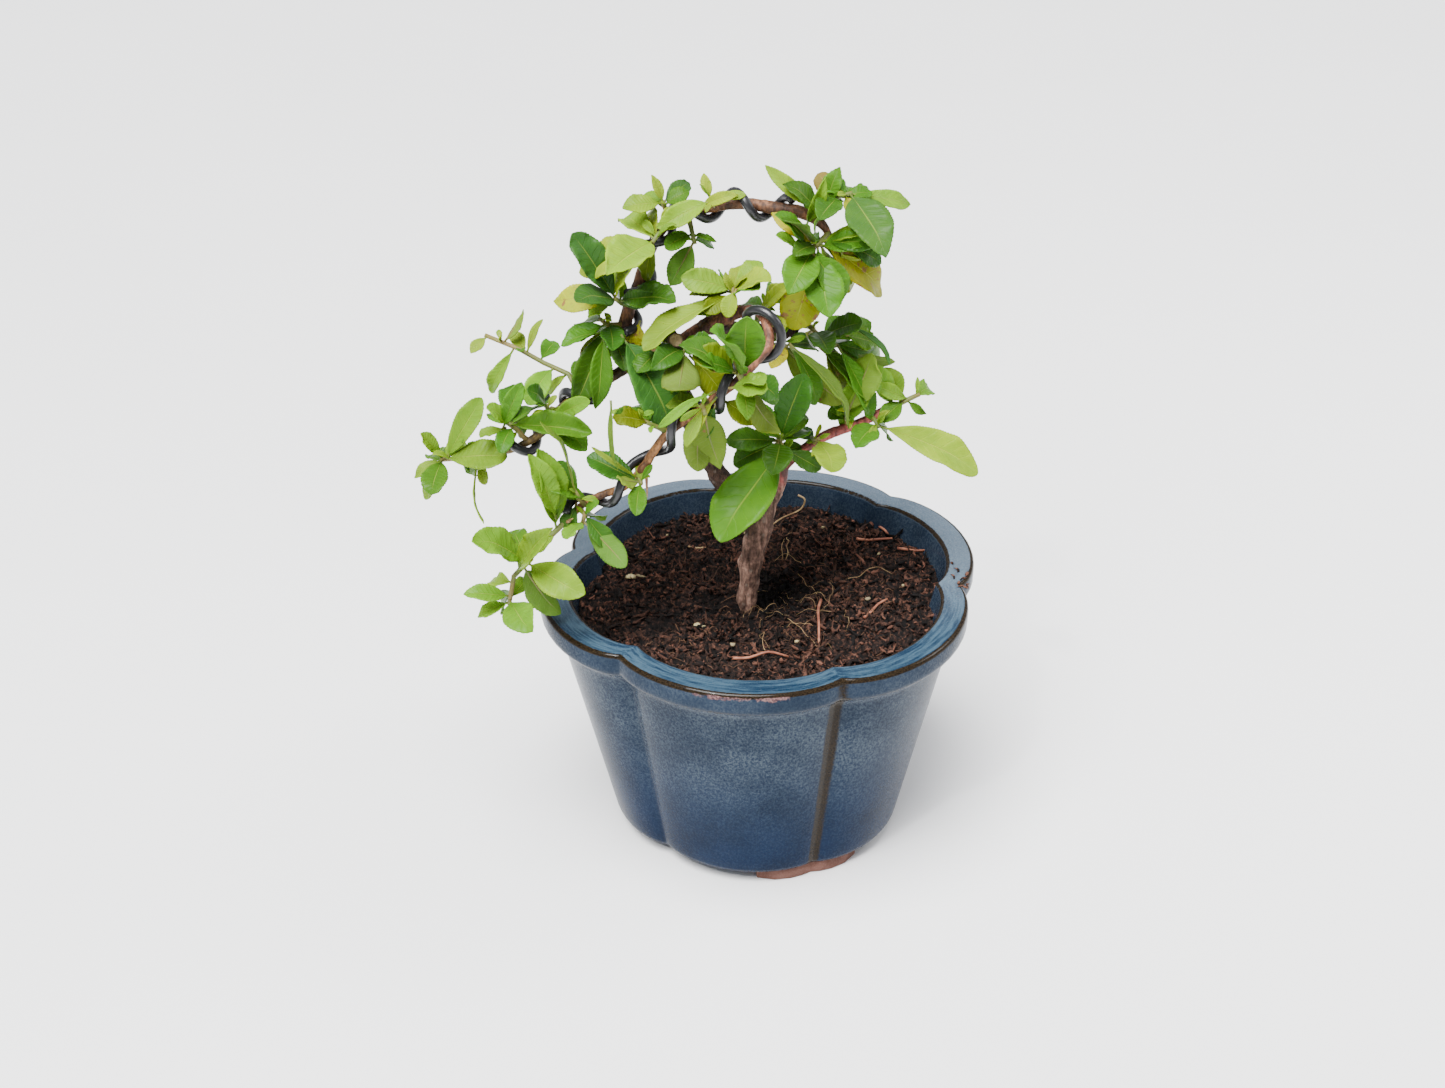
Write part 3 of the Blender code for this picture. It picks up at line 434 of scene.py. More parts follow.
def spunPlaces(shape, ring, pairs, columns):
    # turns a section about the pot's axis; gives each vertex with its radius, height and column
    edges = [shape.edges.new(pair) for pair in pairs]
    steps = 6 * columns
    bmesh.ops.spin(shape, geom=ring + edges, cent=(0, 0, 0), axis=(0, 0, 1), angle=math.tau, steps=steps,
                   use_merge=True)
    bmesh.ops.remove_doubles(shape, verts=shape.verts, dist=weld)
    for vert in shape.verts:
        share = math.degrees(math.atan2(vert.co.y, vert.co.x)) % 360.0 / 360.0
        column = round(share * steps) / columns % 6
        yield vert, math.hypot(vert.co.x, vert.co.y) / mm, vert.co.z / mm, column


def glazeFinish():
    # mottled blue glaze that breaks to brown where it runs thin
    finish = Finish("blueGlaze", Specular_Tint=(0.7, 0.85, 1.0, 1.0), IOR=1.45, Specular_IOR_Level=0.035,
                    Coat_Roughness=0.05, Coat_IOR=1.3)
    spots = finish.places()
    runs = finish.places((1.0, 1.0, 0.8))
    thin = finish.mark("thin")
    low = finish.mark("low")
    cloud = finish.grain(0.035, 4.0, spots, 0.6)
    fleck = finish.grain(1.2, 4.0, runs, 0.75)
    fine = finish.grain(2.3, 3.0, spots, 0.75)
    deep = finish.mixed(cloud.between(0.35, 0.65), (0.0006, 0.0044, 0.018), (0.0010, 0.0072, 0.029))
    milky = finish.mixed(cloud.between(0.3, 0.7), (0.040, 0.058, 0.077), (0.071, 0.092, 0.109))
    milky = finish.mixed(low * 0.85, milky, (0.007, 0.028, 0.064))
    speckle = fleck.between(0.40, 0.62) * 0.5 + fine.between(0.38, 0.64) * 0.5
    speckle = speckle * (1.0 - low * 0.66) * (0.75 + cloud.between(0.35, 0.65) * 0.4)
    onLip = finish.node("SeparateXYZ", None, {0: spots}, 2).between(84.0, 89.0) * 0.55
    speckle = speckle.least(1.0) * (1.0 - onLip) + onLip * 0.3
    blue = finish.mixed(speckle, deep, milky)
    broken = (thin * 1.4 + (fleck - 0.5) * 2.2 * thin + (cloud - 0.5) * 1.6 * thin).between(0.42, 0.94)
    brown = finish.mixed(fine.between(0.38, 0.66), (0.0044, 0.0030, 0.0020), (0.028, 0.018, 0.0085))
    alongLip = finish.node("VectorMath", {"operation": "MULTIPLY"},
                           {0: finish.mark("flow", "Vector"), 1: (0.12, 1.0, 0.4)})
    streak = finish.grain(0.9, 4.0, alongLip, 0.65)
    rim = finish.mark("rim")
    streaky = finish.mixed(streak.between(0.36, 0.64), (0.0035, 0.016, 0.036), (0.036, 0.070, 0.102))
    # the rim's top is painted paler and greyer towards the back, with a little random mottling: a painted
    # reflection of the bright room on the glaze
    backSheen = finish.node("SeparateXYZ", None, {0: spots}, 1).between(-45.0, 15.0)
    sheenGrey = finish.mixed(fine.between(0.35, 0.65), (0.085, 0.120, 0.160), (0.150, 0.180, 0.215))
    streaky = finish.mixed(backSheen * 0.7 + fine.between(0.5, 0.72) * 0.2, streaky, sheenGrey)
    blue = finish.mixed(rim, blue, streaky)
    clay = (finish.mark("missed") * finish.grain(0.15, 5.0, spots, 0.7)).between(0.46, 0.55)
    bare = finish.mixed(fleck.between(0.4, 0.6), (0.055, 0.028, 0.034), (0.22, 0.125, 0.115))
    colour = finish.mixed(clay, finish.mixed(broken, blue, brown), bare)
    finish.bump(cloud * 0.7 + fleck * 0.1 + fine * 0.05, 0.5, 0.35)
    return finish.feed(Base_Color=colour, Roughness=0.2 + fleck * 0.14 + clay * 0.3,
                       Coat_Weight=0.12 + rim * 0.2 + thin * 0.12 - clay * 0.1)


def clayFinish():
    finish = Finish("bareClay", Specular_IOR_Level=0.3)
    coarse = finish.grain(0.25, 4.0)
    fine = finish.grain(3.0, 3.0)
    colour = finish.mixed(coarse.between(0.35, 0.65), (0.096, 0.038, 0.026), (0.150, 0.068, 0.050))
    finish.bump(fine + coarse, 0.25, 0.6)
    colour = finish.mixed(fine.between(0.45, 0.75) * 0.5, colour, (0.24, 0.145, 0.112))
    return finish.feed(Base_Color=colour, Roughness=0.75 + fine * 0.2)


def potSection():
    lip, top = pot["rimRadius"], pot["height"]
    underLip = top - pot["lipHeight"]
    corners = [     # radius, height, rounding, brown
        (pot["drain"], pot["footHeight"], 1.0, 0.0), (pot["base"], pot["footHeight"], 2.6, 0.3),
        (pot["wallTop"], underLip - 3.0, 3.0, 0.0), (lip, underLip, 2.2, 0.45), (lip, top, 1.7, 1.7),
        (lip - pot["rimWidth"], top, 1.5, 0.8), (innerRadius(pot["floorTop"]), pot["floorTop"], 2.5, 0.0),
        (pot["drain"], pot["floorTop"], 1.0, 0.0),
    ]
    line = roundedLine(corners)
    dense = []
    for here, after in zip(line, line[1:] + line[:1]):
        pieces = max(1, round(math.hypot(after[0] - here[0], after[1] - here[1]) / pot["sectionStep"]))
        for piece in range(pieces):
            t = piece / pieces
            dense.append(tuple(a + (b - a) * t for a, b in zip(here, after)))
    return dense


def makePot():
    lip, top = pot["rimRadius"], pot["height"]
    shape = bmesh.new()
    marks = shape.verts.layers.float
    thin, missed, low, rim = (marks.new(name) for name in ("thin", "missed", "low", "rim"))
    flow = shape.verts.layers.float_vector.new("flow")      # along the lobes, outwards and up, for streaks
    section = potSection()
    ring = [shape.verts.new((radius * mm, 0.0, height * mm)) for radius, height, _ in section]
    for vert, (_, height, brown) in zip(ring, section):
        vert[thin] = brown
        vert[low] = 1.0 - smoothstep(*pot["lowBand"], height)
    closed = zip(ring, ring[1:] + ring[:1])
    for vert, radius, height, column in spunPlaces(shape, ring, closed, pot["columns"]):
        x, y = lobed(radius, column)
        vert.co = toWorld((x, y, height))
        down = top - height
        if radius > innerRadius(min(height, top - 2.0)) + 2.0 and height > pot["footHeight"] + 1.0:
            away = abs(column - round(column))
            band = pot["creaseGlaze"][round(column) % 6] * (1.0 - smoothstep(*pot["creaseBand"], away))
            band *= 0.25 if down < 1.0 else 0.62 if down < pot["lipHeight"] - 1.0 else 1.0
            vert[thin] = max(vert[thin], band)
        if radius > lip - 0.8 and down > 0.6 and pot["missed"][0] < column < pot["missed"][1]:
            vert[missed] = 1.0 - smoothstep(*pot["missedDepth"], down)
        vert[flow] = ((column - 3.0) % 6.0 * lip, radius, height)
        vert[rim] = smoothstep(1.2, 0.3, down) if radius > lip - pot["rimWidth"] - 1.0 else 0.0
    bmesh.ops.recalc_face_normals(shape, faces=shape.faces)
    pieceFrom("potBody", shape, [glazeFinish()], ["pot"])


def makeFeet():
    shape = bmesh.new()
    for crease in pot["footCreases"]:
        foot = bmesh.new()
        bmesh.ops.create_cube(foot, size=1.0)
        along = [edge for edge in foot.edges if abs(edge.verts[0].co.x - edge.verts[1].co.x) > 0.5]
        bmesh.ops.subdivide_edges(foot, edges=along, cuts=9)
        for vert in foot.verts:
            side, across, tall = vert.co
            radius = pot["footOuter"] if across > 0 else pot["footInner"]
            radius += pot["footPull"] * (pot["footMiddle"] - radius) * (2 * abs(side)) ** 6
            x, y = lobed(radius, (crease + side * pot["footSpan"] / 60.0) % 6)
            vert.co = toWorld((x, y, pot["footHeight"] + 0.5 if tall > 0 else 0.0))
        addMesh(shape, meshOf(foot, "foot"))
    bmesh.ops.recalc_face_normals(shape, faces=shape.faces)
    rims = [edge for edge in shape.edges if edge.calc_face_angle(0.0) > 0.9]
    bmesh.ops.bevel(shape, geom=rims, offset=0.6 * mm, offset_type="OFFSET", segments=3, profile=0.5,
                    affect="EDGES", material=-1, clamp_overlap=True)
    pieceFrom("potFeet", shape, [clayFinish()], ["pot"])


makePot()
makeFeet()
blackMesh = Finish("blackMesh", Base_Color=(0.02, 0.02, 0.02), Specular_IOR_Level=0.4)
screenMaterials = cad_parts["drain_screen"].data.materials
screenMaterials.clear()
screenMaterials.append(blackMesh.feed(Roughness=0.5 + blackMesh.grain(0.8) * 0.2))


print("soil")
soil = {
    "top": 86.5,
    "dome": 1.0,
    "dips": [               # (x, y), reach and depth of the hollows beside the trunk
        (3.0, 2.0, 9.5, 8.0), (-17.0, -6.0, 6.5, 4.0), (-5.0, -10.0, 6.0, 0.8), (28.0, 16.0, 4.0, 2.5),
        (-32.0, -18.0, 7.0, 1.5), (12.0, -28.0, 6.0, 1.5),
    ],
    "trunkX": -6.0,
    "trunkY": -7.0,
    "gap": 0.5,             # between the soil and the pot's wall
    "crumbs": 6800,
    "crumbReach": 0.985,    # share of the soil's width that they lie on
    "crumbSizes": (0.40, 1.35),
    "crumbStretch": ((0.9, 2.0), (0.5, 0.9), (0.45, 0.85)),
    "crumbKinds": 7,
    "roundKinds": 3,        # the first of those kinds; the others are short curls
    "trunkClear": 5.5,      # bare radius about the trunk
    "bedRings": 140,
    "bedColumns": 104,      # across one lobe
    "fibres": 420,
    "hairs": 24,
    "hairReach": 34.0,
    "stalks": [             # (x, y) of each end of the dry stalks that lie on top
        ((33.1, 33.9), (47.0, 34.5)), ((40.4, 46.4), (46.0, 39.4)), ((48.0, 28.0), (57.0, 27.5)),
        ((19.0, -5.1), (17.2, -30.0)), ((33.7, -14.9), (41.8, -5.1)), ((-10.9, -39.6), (6.8, -39.0)),
    ],
    "chips": [              # (x, y) of the pale flakes, their half length, half width and shade
        (-46.4, 8.7, 1.9, 1.3, 0.9), (-42.5, 9.5, 2.2, 0.6, 0.35), (-22.8, -20.3, 1.5, 1.1, 1.0),
        (-10.8, -32.1, 1.0, 1.1, 0.45), (10.4, -29.2, 0.9, 0.8, 0.8), (35.4, -5.1, 1.2, 1.2, 0.4),
        (-20.5, -21.5, 0.8, 0.5, 0.9), (41.0, 24.0, 0.8, 0.4, 0.6), (-34.0, 37.0, 0.7, 0.4, 0.7),
        (22.0, 42.0, 0.8, 0.5, 0.6), (-6.0, 38.0, 0.7, 0.4, 0.8), (48.0, 4.0, 0.6, 0.4, 0.7),
    ],
    "spilt": [              # (x, y) of the crumbs that lie on the pot's rim
        (65.6, -7.0), (67.2, -4.4), (64.2, -3.2), (68.4, -8.2), (66.0, 1.0), (64.4, 5.4), (69.0, -1.6),
        (66.8, -9.6),
    ],
    "strays": [             # (x, y, rise) along the root that arches up, and along a bit of straw
        [(4.0, 47.0, 0.0), (7.5, 48.0, 2.5), (14.0, 49.0, 5.0), (15.5, 49.5, 8.5), (13.0, 50.0, 10.5)],
        [(-26.5, 28.5, 1.2), (-23.5, 28.8, 1.5), (-20.2, 29.8, 1.2)],
    ],
}
lobeLimit = innerRadius(soil["top"]) - soil["gap"]


def soilHeight(x, y):
    reach = math.hypot(x, y) / pot["rimRadius"]
    height = soil["top"] + soil["dome"] * (1.0 - reach * reach)
    height += 0.5 * math.sin(0.21 * x + 1.0) * math.cos(0.17 * y) + 0.3 * math.sin(0.43 * x - 0.35 * y)
    return height - dipAt(x, y)


def dipAt(x, y):
    return sum(depth * math.exp(-((x - middleX) ** 2 + (y - middleY) ** 2) / reach ** 2)
               for middleX, middleY, reach, depth in soil["dips"])


def lumpAt(x, y):
    # 0 in the cracks and 1 on top of the lumps, which wind about like coir
    spot = Vector((x, y, 0.0))
    bend = noise.noise_vector(spot * 0.45) * 1.3
    large = 1.0 - 2.6 * abs(noise.noise((spot + bend) * 0.36))
    small = 1.0 - 2.4 * abs(noise.noise((spot - bend) * 0.85))
    return min(1.0, max(0.0, 0.5 * large + 0.5 * small + 0.3 * noise.noise(spot * 2.2)))


def roughHeight(x, y):
    # the crumbly top of the soil that the loose bits lie on
    return soilHeight(x, y) + 1.2 * noise.noise(Vector((x, y, 0.0)) * 0.16) + 2.0 * (lumpAt(x, y) - 0.6)


def soilSpot(reach):
    # a random place on the soil, inside the pot's lobes
    return lobed(lobeLimit * reach * math.sqrt(dice.random()), 0.01 + 5.98 * dice.random())


def soilFinish():
    finish = Finish("peatAndCoir", Specular_IOR_Level=0.25)
    tone = finish.mark("tone")
    coarse = finish.grain(0.7, 4.0)
    fine = finish.grain(2.6, 4.0, None, 0.75)
    # near-black where the tone is low: the crumbs' own dark tones, and the painted shade in the cracks and
    # hollows
    dark = finish.mixed(tone ** 1.8, (0.0014, 0.0007, 0.0006), (0.180, 0.075, 0.048))
    colour = finish.mixed(fine.between(0.5, 0.66) * tone, dark, (0.230, 0.105, 0.066))
    finish.bump(fine + coarse * 0.6, 0.6, 1.0)
    colour = finish.mixed(coarse.between(0.50, 0.40), colour, (0.0016, 0.0008, 0.0006))
    return finish.feed(Base_Color=colour, Roughness=0.75 + fine * 0.25)


def fibreFinish(name, first, second, roughness):
    finish = Finish(name, Specular_IOR_Level=0.3)
    long = finish.grain(0.25, 3.0)
    finish.bump(finish.grain(4.0, 2.0), 0.1, 0.5)
    colour = finish.mixed(long.between(0.35, 0.65), first, second)
    return finish.feed(Base_Color=colour, Roughness=roughness)


def toneWithHollowShade(x, y):
    # paler where the soil is dry and a little paler towards the right; darker down in the hollows, which is
    # painted shade
    dry = 0.5 + 0.5 * noise.noise(Vector((x, y, 9.0)) * 0.07)
    return (0.68 + 0.34 * dry + 0.10 * smoothstep(-20.0, 40.0, x)) * math.exp(-0.35 * dipAt(x, y))


def makeSoilBed(finish):
    # a finely rumpled top over the plain block, down to its floor
    shape = bmesh.new()
    tone = shape.verts.layers.float.new("tone")
    rings, low = soil["bedRings"], pot["floorTop"] + 2.5
    line = [(0.0, soil["top"])]
    line += [(lobeLimit * (0.02 + 0.98 * step / rings), soil["top"]) for step in range(rings + 1)]
    line += [(lobeLimit, soil["top"] - 3.0), (innerRadius(low) - 0.7, low), (0.0, low)]
    ring = [shape.verts.new((radius * mm, 0.0, height * mm)) for radius, height in line]
    for vert, radius, height, column in spunPlaces(shape, ring, zip(ring, ring[1:]), soil["bedColumns"]):
        x, y = lobed(radius, column)
        if height > soil["top"] - 0.5:
            height = roughHeight(x, y)
        vert.co = toWorld((x, y, height))
        # the bed's tone falls towards black down in the cracks between the lumps: painted shade, with the
        # painted shade of the hollows on top
        vert[tone] = 0.75 * lumpAt(x, y) ** 2 * toneWithHollowShade(x, y)
    bmesh.ops.recalc_face_normals(shape, faces=shape.faces)
    pieceFrom("soilBed", shape, [finish], ["soil"])


def crumbTemplates():
    # a few lumps of different shape, that every crumb is a copy of
    made = []
    for kind in range(soil["crumbKinds"]):
        curled = kind >= soil["roundKinds"]
        shape = bmesh.new()
        shape.verts.layers.float.new("tone")
        if curled:
            bmesh.ops.create_cone(shape, cap_ends=True, segments=5, radius1=0.75, radius2=0.55, depth=2.8,
                                  matrix=Matrix.Rotation(math.pi / 2, 4, "Y"))
            along = [edge for edge in shape.edges if abs(edge.verts[0].co.x - edge.verts[1].co.x) > 1.0]
            bmesh.ops.subdivide_edges(shape, edges=along, cuts=2)
        else:
            bmesh.ops.create_icosphere(shape, subdivisions=1, radius=1.0)
        for vert in shape.verts:
            vert.co *= 1.0 + 1.1 * noise.noise(vert.co * 1.9 + Vector((kind * 7.0, 0, 0)))
            if curled:
                vert.co.y += (0.2 * kind - 0.3) * vert.co.x ** 2 - 0.4
                vert.co.z += 0.4 * math.sin(vert.co.x * kind * 0.5)
        made.append(meshOf(shape, "crumb"))
    return made


def turned(about, over):
    # a turn about the upright, after one about x
    return Matrix.Rotation(about, 4, "Z") @ Matrix.Rotation(over, 4, "X")


def addCopy(group, template, place, turn, sides, tone):
    # adds a turned and stretched copy of a small mesh to a bmesh, in its own shade
    copy = template.copy()
    copy.transform(Matrix.Translation(toWorld(place)) @ turn @ Matrix.Diagonal((*sides, 1.0)))
    copy.attributes["tone"].data.foreach_set("value", [tone] * len(copy.vertices))
    addMesh(group, copy)


def makeCrumbs(finish):
    templates = crumbTemplates()
    group = bmesh.new()
    group.verts.layers.float.new("tone")
    small, large = soil["crumbSizes"]
    for _ in range(soil["crumbs"]):
        x, y = soilSpot(soil["crumbReach"])
        size = small + (large - small) * dice.random() ** 3.0
        if math.hypot(x - soil["trunkX"], y - soil["trunkY"]) < soil["trunkClear"] + size:
            continue
        height = roughHeight(x, y) + size * (0.15 + 0.5 * dice.random())
        turn = turned(dice.random() * math.tau, dice.random() * math.pi)
        sides = [size * mm * dice.uniform(*stretch) for stretch in soil["crumbStretch"]]
        # each crumb's tone is random, and darker down in the hollows as painted shade
        tone = (dice.random() ** 1.4 + (0.3 if dice.random() < 0.05 else 0.0)) * toneWithHollowShade(x, y)
        addCopy(group, dice.choice(templates), (x, y, height), turn, sides, min(1.0, tone))
    for x, y in soil["spilt"]:
        sides = (dice.uniform(0.6, 1.2) * mm, dice.uniform(0.4, 0.7) * mm, 0.5 * mm)
        turn = turned(dice.random() * math.tau, 0.0)
        addCopy(group, dice.choice(templates), (x, y, pot["height"] + 0.35), turn, sides, 0.9)
    pieceFrom("soilCrumbs", group, [finish], [])


def strayRoute(x, y, length, thick, lift, curl, steps=5):
    # a thin fibre that wanders over the soil
    heading = dice.random() * math.tau
    route = []
    for step in range(steps + 1):
        hump = lift * math.sin(math.pi * step / steps)
        route.append((x, y, roughHeight(x, y) + thick + 0.4 + hump, thick * (1.0 - 0.4 * step / steps)))
        x += math.cos(heading) * length / steps
        y += math.sin(heading) * length / steps
        heading += dice.uniform(-curl, curl)
        if math.hypot(x, y) > lobeLimit - 4.0:
            break
    return route


def makeFibres():
    # short threads of coir, strewn all over
    coir = fibreFinish("coirFibre", (0.016, 0.007, 0.005), (0.12, 0.060, 0.032), 0.8)
    routes = []
    for _ in range(soil["fibres"]):
        x, y = soilSpot(0.93)
        routes.append(strayRoute(x, y, 2.0 + 8.0 * dice.random() ** 2, dice.uniform(0.08, 0.2),
                                 dice.uniform(0.0, 1.2), 0.6))
    pieceFrom("soilFibres", tubes([route for route in routes if len(route) > 2], 4), [coir], [])


def makeHairs():
    # fine roots that spread from the trunk, and the larger strays
    pale = fibreFinish("rootHair", (0.20, 0.115, 0.05), (0.38, 0.26, 0.13), 0.6)
    routes = []
    for _ in range(soil["hairs"]):
        heading = math.radians(dice.gauss(-12.0, 42.0))
        reach = 5.0 + soil["hairReach"] * dice.random() ** 1.3
        x = soil["trunkX"] + math.cos(heading) * reach
        y = soil["trunkY"] + math.sin(heading) * reach
        route = strayRoute(x, y, dice.uniform(7.0, 24.0), dice.uniform(0.07, 0.13),
                           dice.uniform(0.4, 3.5), 0.6, 7)
        routes.append(smoothRoute(route, 0.9) if len(route) > 3 else [])
    for points in soil["strays"]:
        routes.append(smoothRoute([(x, y, roughHeight(x, y) + rise, 0.35) for x, y, rise in points], 1.0))
    pieceFrom("rootHairs", tubes([route for route in routes if len(route) > 3], 4), [pale], [])


def makeStalks():
    red = fibreFinish("dryStalk", (0.17, 0.055, 0.032), (0.33, 0.13, 0.075), 0.55)
    routes = []
    for start, end in soil["stalks"]:
        points = []
        for share in (0.0, 0.33, 0.66, 1.0):
            x = start[0] + (end[0] - start[0]) * share + dice.uniform(-0.5, 0.5)
            y = start[1] + (end[1] - start[1]) * share + dice.uniform(-0.5, 0.5)
            points.append((x, y, roughHeight(x, y) + 1.6, 0.55 - 0.15 * share))
        routes.append(smoothRoute(points, 2.0))
    pieceFrom("dryStalks", tubes(routes, 8), [red], [])


def makeChips():
    # pale bits of bark and straw
    straw = Finish("paleChip", Specular_IOR_Level=0.2)
    grain = straw.grain(1.6, 4.0)
    shade = straw.mixed(straw.mark("tone"), (0.090, 0.070, 0.058), (0.50, 0.42, 0.22))
    straw.bump(grain, 0.4, 0.8)
    straw.feed(Base_Color=straw.mixed(grain.between(0.62, 0.38) * 0.6, shade, (0.16, 0.11, 0.06)),
               Roughness=0.75 + grain * 0.1)
    templates = crumbTemplates()[:soil["roundKinds"]]
    group = bmesh.new()
    group.verts.layers.float.new("tone")
    for x, y, length, width, tone in soil["chips"]:
        turn = turned(dice.uniform(-0.5, 0.5), dice.uniform(-0.3, 0.3))
        sides = (length * mm, width * mm, 0.55 * mm)
        addCopy(group, dice.choice(templates), (x, y, soilHeight(x, y) + 1.3), turn, sides, tone)
    pieceFrom("paleChips", group, [straw.material], [])


peat = soilFinish()
makeSoilBed(peat)
makeCrumbs(peat)
makeFibres()
makeHairs()
makeStalks()
makeChips()


print("wood")
wood = {
    "limbs": {      # each limb's route as (x, y, z, radius), then its bark
        "trunk": ([(-6, -7, 76, 1.6), (-6, -7, 83, 2.3), (-5.5, -7, 91, 3.1), (-5, -7, 101, 3.5),
                   (-3, -5, 114, 4.1), (0, -3, 124, 3.8), (3, -1, 133, 3.8), (5, 0, 139, 2.6)], "grey"),
        "leftLimb": ([(-3, -5, 115, 3.0), (-9, -4, 127, 3.4), (-16, -4, 137, 3.3), (-21, -3, 148, 3.3),
                      (-25, -2, 156, 3.0), (-27, -1, 164, 3.2), (-29, 0, 172, 3.0),
                      (-32, 1, 180, 3.0)], "dark"),
        "cutStub": ([(-31, 1, 178, 2.0), (-30, -3, 181, 2.9), (-29, -8, 185.5, 2.5),
                     (-28.8, -13, 190, 2.5)], "dark"),
        "arch": ([(-31, 1, 177, 2.4), (-39, 3, 179, 2.6), (-45, 5, 182, 2.8), (-45, 7, 188, 2.2),
                  (-41, 9, 199, 2.0), (-37, 11, 210, 1.9), (-33, 12, 217, 1.9), (-27, 13, 221, 1.9),
                  (-20, 13, 223, 1.8), (-10, 12, 225, 1.9), (-4, 11, 225, 2.0), (3, 10, 224, 2.1),
                  (11, 9, 223, 2.0), (17, 9, 219, 1.5), (20, 8, 214, 1.0)], "brown"),
        "bridge": ([(-31, 0, 181, 2.2), (-23, -1, 187, 2.4), (-19, -2, 190, 2.6), (-13, -2, 193, 2.6),
                    (-8, -5, 196, 2.2), (-4, -11, 199, 1.8), (-1, -17, 198, 1.8), (0, -22, 193, 1.9),
                    (-4, -26, 189, 1.8), (-9, -28, 184, 1.8), (-16, -28, 178, 1.8), (-21, -27, 173, 1.8),
                    (-27, -26, 168, 1.8), (-32, -25, 163, 1.8), (-36, -25, 157, 1.8), (-40, -25, 150, 1.8),
                    (-46, -25, 144, 1.7), (-53, -25, 141, 1.6), (-59, -26, 138, 1.5),
                    (-65, -28, 132, 1.2)], "orange"),
        "spur": ([(-13, -2, 191, 2.2), (-12, -2, 195, 1.9), (-11, -2, 197, 1.5)], "brown"),
        "farLimb": ([(-19, -2, 189, 2.2), (-9, 3, 186, 2.4), (1, 9, 182, 2.8), (6, 11, 182, 3.0),
                     (10, 12, 185, 2.7), (8, 13, 189, 2.2), (6, 13, 195, 1.8)], "dark"),
        "lowLimb": ([(-36, 2, 178, 2.0), (-47, -1, 173, 1.8), (-54, -3, 169, 1.7), (-60, -4, 166, 1.6),
                     (-67, -5, 161, 1.5), (-72, -6, 154, 1.4), (-80, -7, 149, 1.3), (-86, -7, 147, 1.2),
                     (-93, -7, 146, 1.0)], "olive"),
        "redShoot": ([(1, -2, 131, 1.8), (5, -1, 137, 1.7), (8, 0, 140, 1.6), (12, 1, 143, 1.5),
                      (20, 4, 147, 1.5), (31, 7, 150, 1.3), (41, 10, 154, 1.2)], "red"),
    },
    "barks": {
        "grey": (0.225, 0.134, 0.100), "dark": (0.050, 0.026, 0.016), "brown": (0.120, 0.052, 0.022),
        "orange": (0.260, 0.125, 0.045), "olive": (0.120, 0.082, 0.018), "red": (0.230, 0.052, 0.042),
    },
    "ripe": (0.125, 0.040, 0.026),      # the redder bark of the bridge's upper half
    "step": 1.5,            # between two points of a limb's smoothed route
    "voxel": 0.37,
    "oldRadii": (1.5, 3.6),             # limbs thinner than the first have young bark
    "lumps": ((0.75, 0.34, 0.45), (0.22, 0.5, 1.0), (1.7, 0.12, 1.0)),     # scale, height, share of z
    "swells": {"bridge": -0.3, "redShoot": 0.3},        # limbs whose skin is moved in or out
    "cutRadius": 2.4,
    "thorns": [     # (x, y, z) of the root, heading, rise, length
        (-64.5, -28, 132.3, -60, 40, 8), (-38.5, -25, 152, -80, -80, 11), (-18.5, -27, 175, -110, -60, 9),
        (-29, 1, 174, 60, 10, 5),
    ],
    "thornRadius": 0.7,
    "thornShares": (0.0, 0.12, 0.3, 0.5, 0.7, 0.85, 0.95, 1.0),
    "knots": [              # (x, y, z) of a swelling on the bark, its reach and height
        (-9.5, -9.0, 91.0, 4.0, 1.6), (-1.0, -11.0, 97.0, 3.0, 0.5), (-8.5, -7.5, 104.0, 3.0, 1.1),
        (1.5, -4.0, 115.0, 4.0, 1.0), (-6.0, -7.0, 122.0, 3.5, 1.2), (-24.0, -5.0, 158.0, 3.5, 1.2),
        (-29.0, -3.0, 174.0, 4.0, 1.3), (-13.0, -4.0, 193.5, 3.0, 1.0), (3.0, 8.0, 184.5, 4.0, 1.3),
        (-20.0, -4.0, 190.0, 3.0, 1.0), (-21.0, -29.0, 173.0, 2.5, 0.8), (-40.0, -27.0, 151.0, 2.5, 0.8),
    ],
}
limbRoutes = {name: smoothRoute(points, wood["step"]) for name, (points, _) in wood["limbs"].items()}


def barkFinish():
    finish = Finish("bark", Specular_IOR_Level=0.35)
    tint = finish.mark("barkTint", "Color")
    raw = finish.mark("cutFace")
    age = finish.mark("age")
    long = finish.places((1.0, 1.0, 0.28))
    furrow = finish.grain(0.65, 5.0, long, 0.7)
    scale = finish.cells(0.55, "DISTANCE_TO_EDGE", long)
    fine = finish.grain(4.5, 3.0)
    shade = finish.mixed(furrow.between(0.36, 0.66), (0.38, 0.35, 0.33), (1.45, 1.45, 1.45))
    patch = finish.grain(0.16, 3.0, None, 0.6).between(0.36, 0.62)
    shade = finish.times(shade, finish.mixed(patch, (0.42, 0.38, 0.36), (1.35, 1.32, 1.3)))
    colour = finish.times(tint, shade)
    colour = finish.mixed((fine.between(0.55, 0.75) * age) * 0.5, colour, (0.20, 0.145, 0.11))
    dust = finish.cells(0.28, "F1").between(0.25, 0.1) * 0.35 * age
    colour = finish.mixed(dust, colour, (0.24, 0.20, 0.16))
    face = finish.mixed(finish.grain(1.2, 2.0), (0.36, 0.23, 0.11), (0.52, 0.38, 0.20))
    finish.bump(furrow + scale.between(0.0, 0.22) * 0.7 * age + fine * 0.25, 0.45, 0.75)
    return finish.feed(Base_Color=finish.mixed(raw, colour, face),
                       Roughness=0.45 + age * 0.35 + fine * 0.15)


def thornFinish():
    finish = Finish("thorn", Specular_IOR_Level=0.4)
    grain = finish.grain(0.7, 3.0)
    colour = finish.mixed(grain.between(0.35, 0.65), (0.16, 0.06, 0.025), (0.40, 0.24, 0.10))
    return finish.feed(Base_Color=colour, Roughness=0.45 + grain * 0.2)


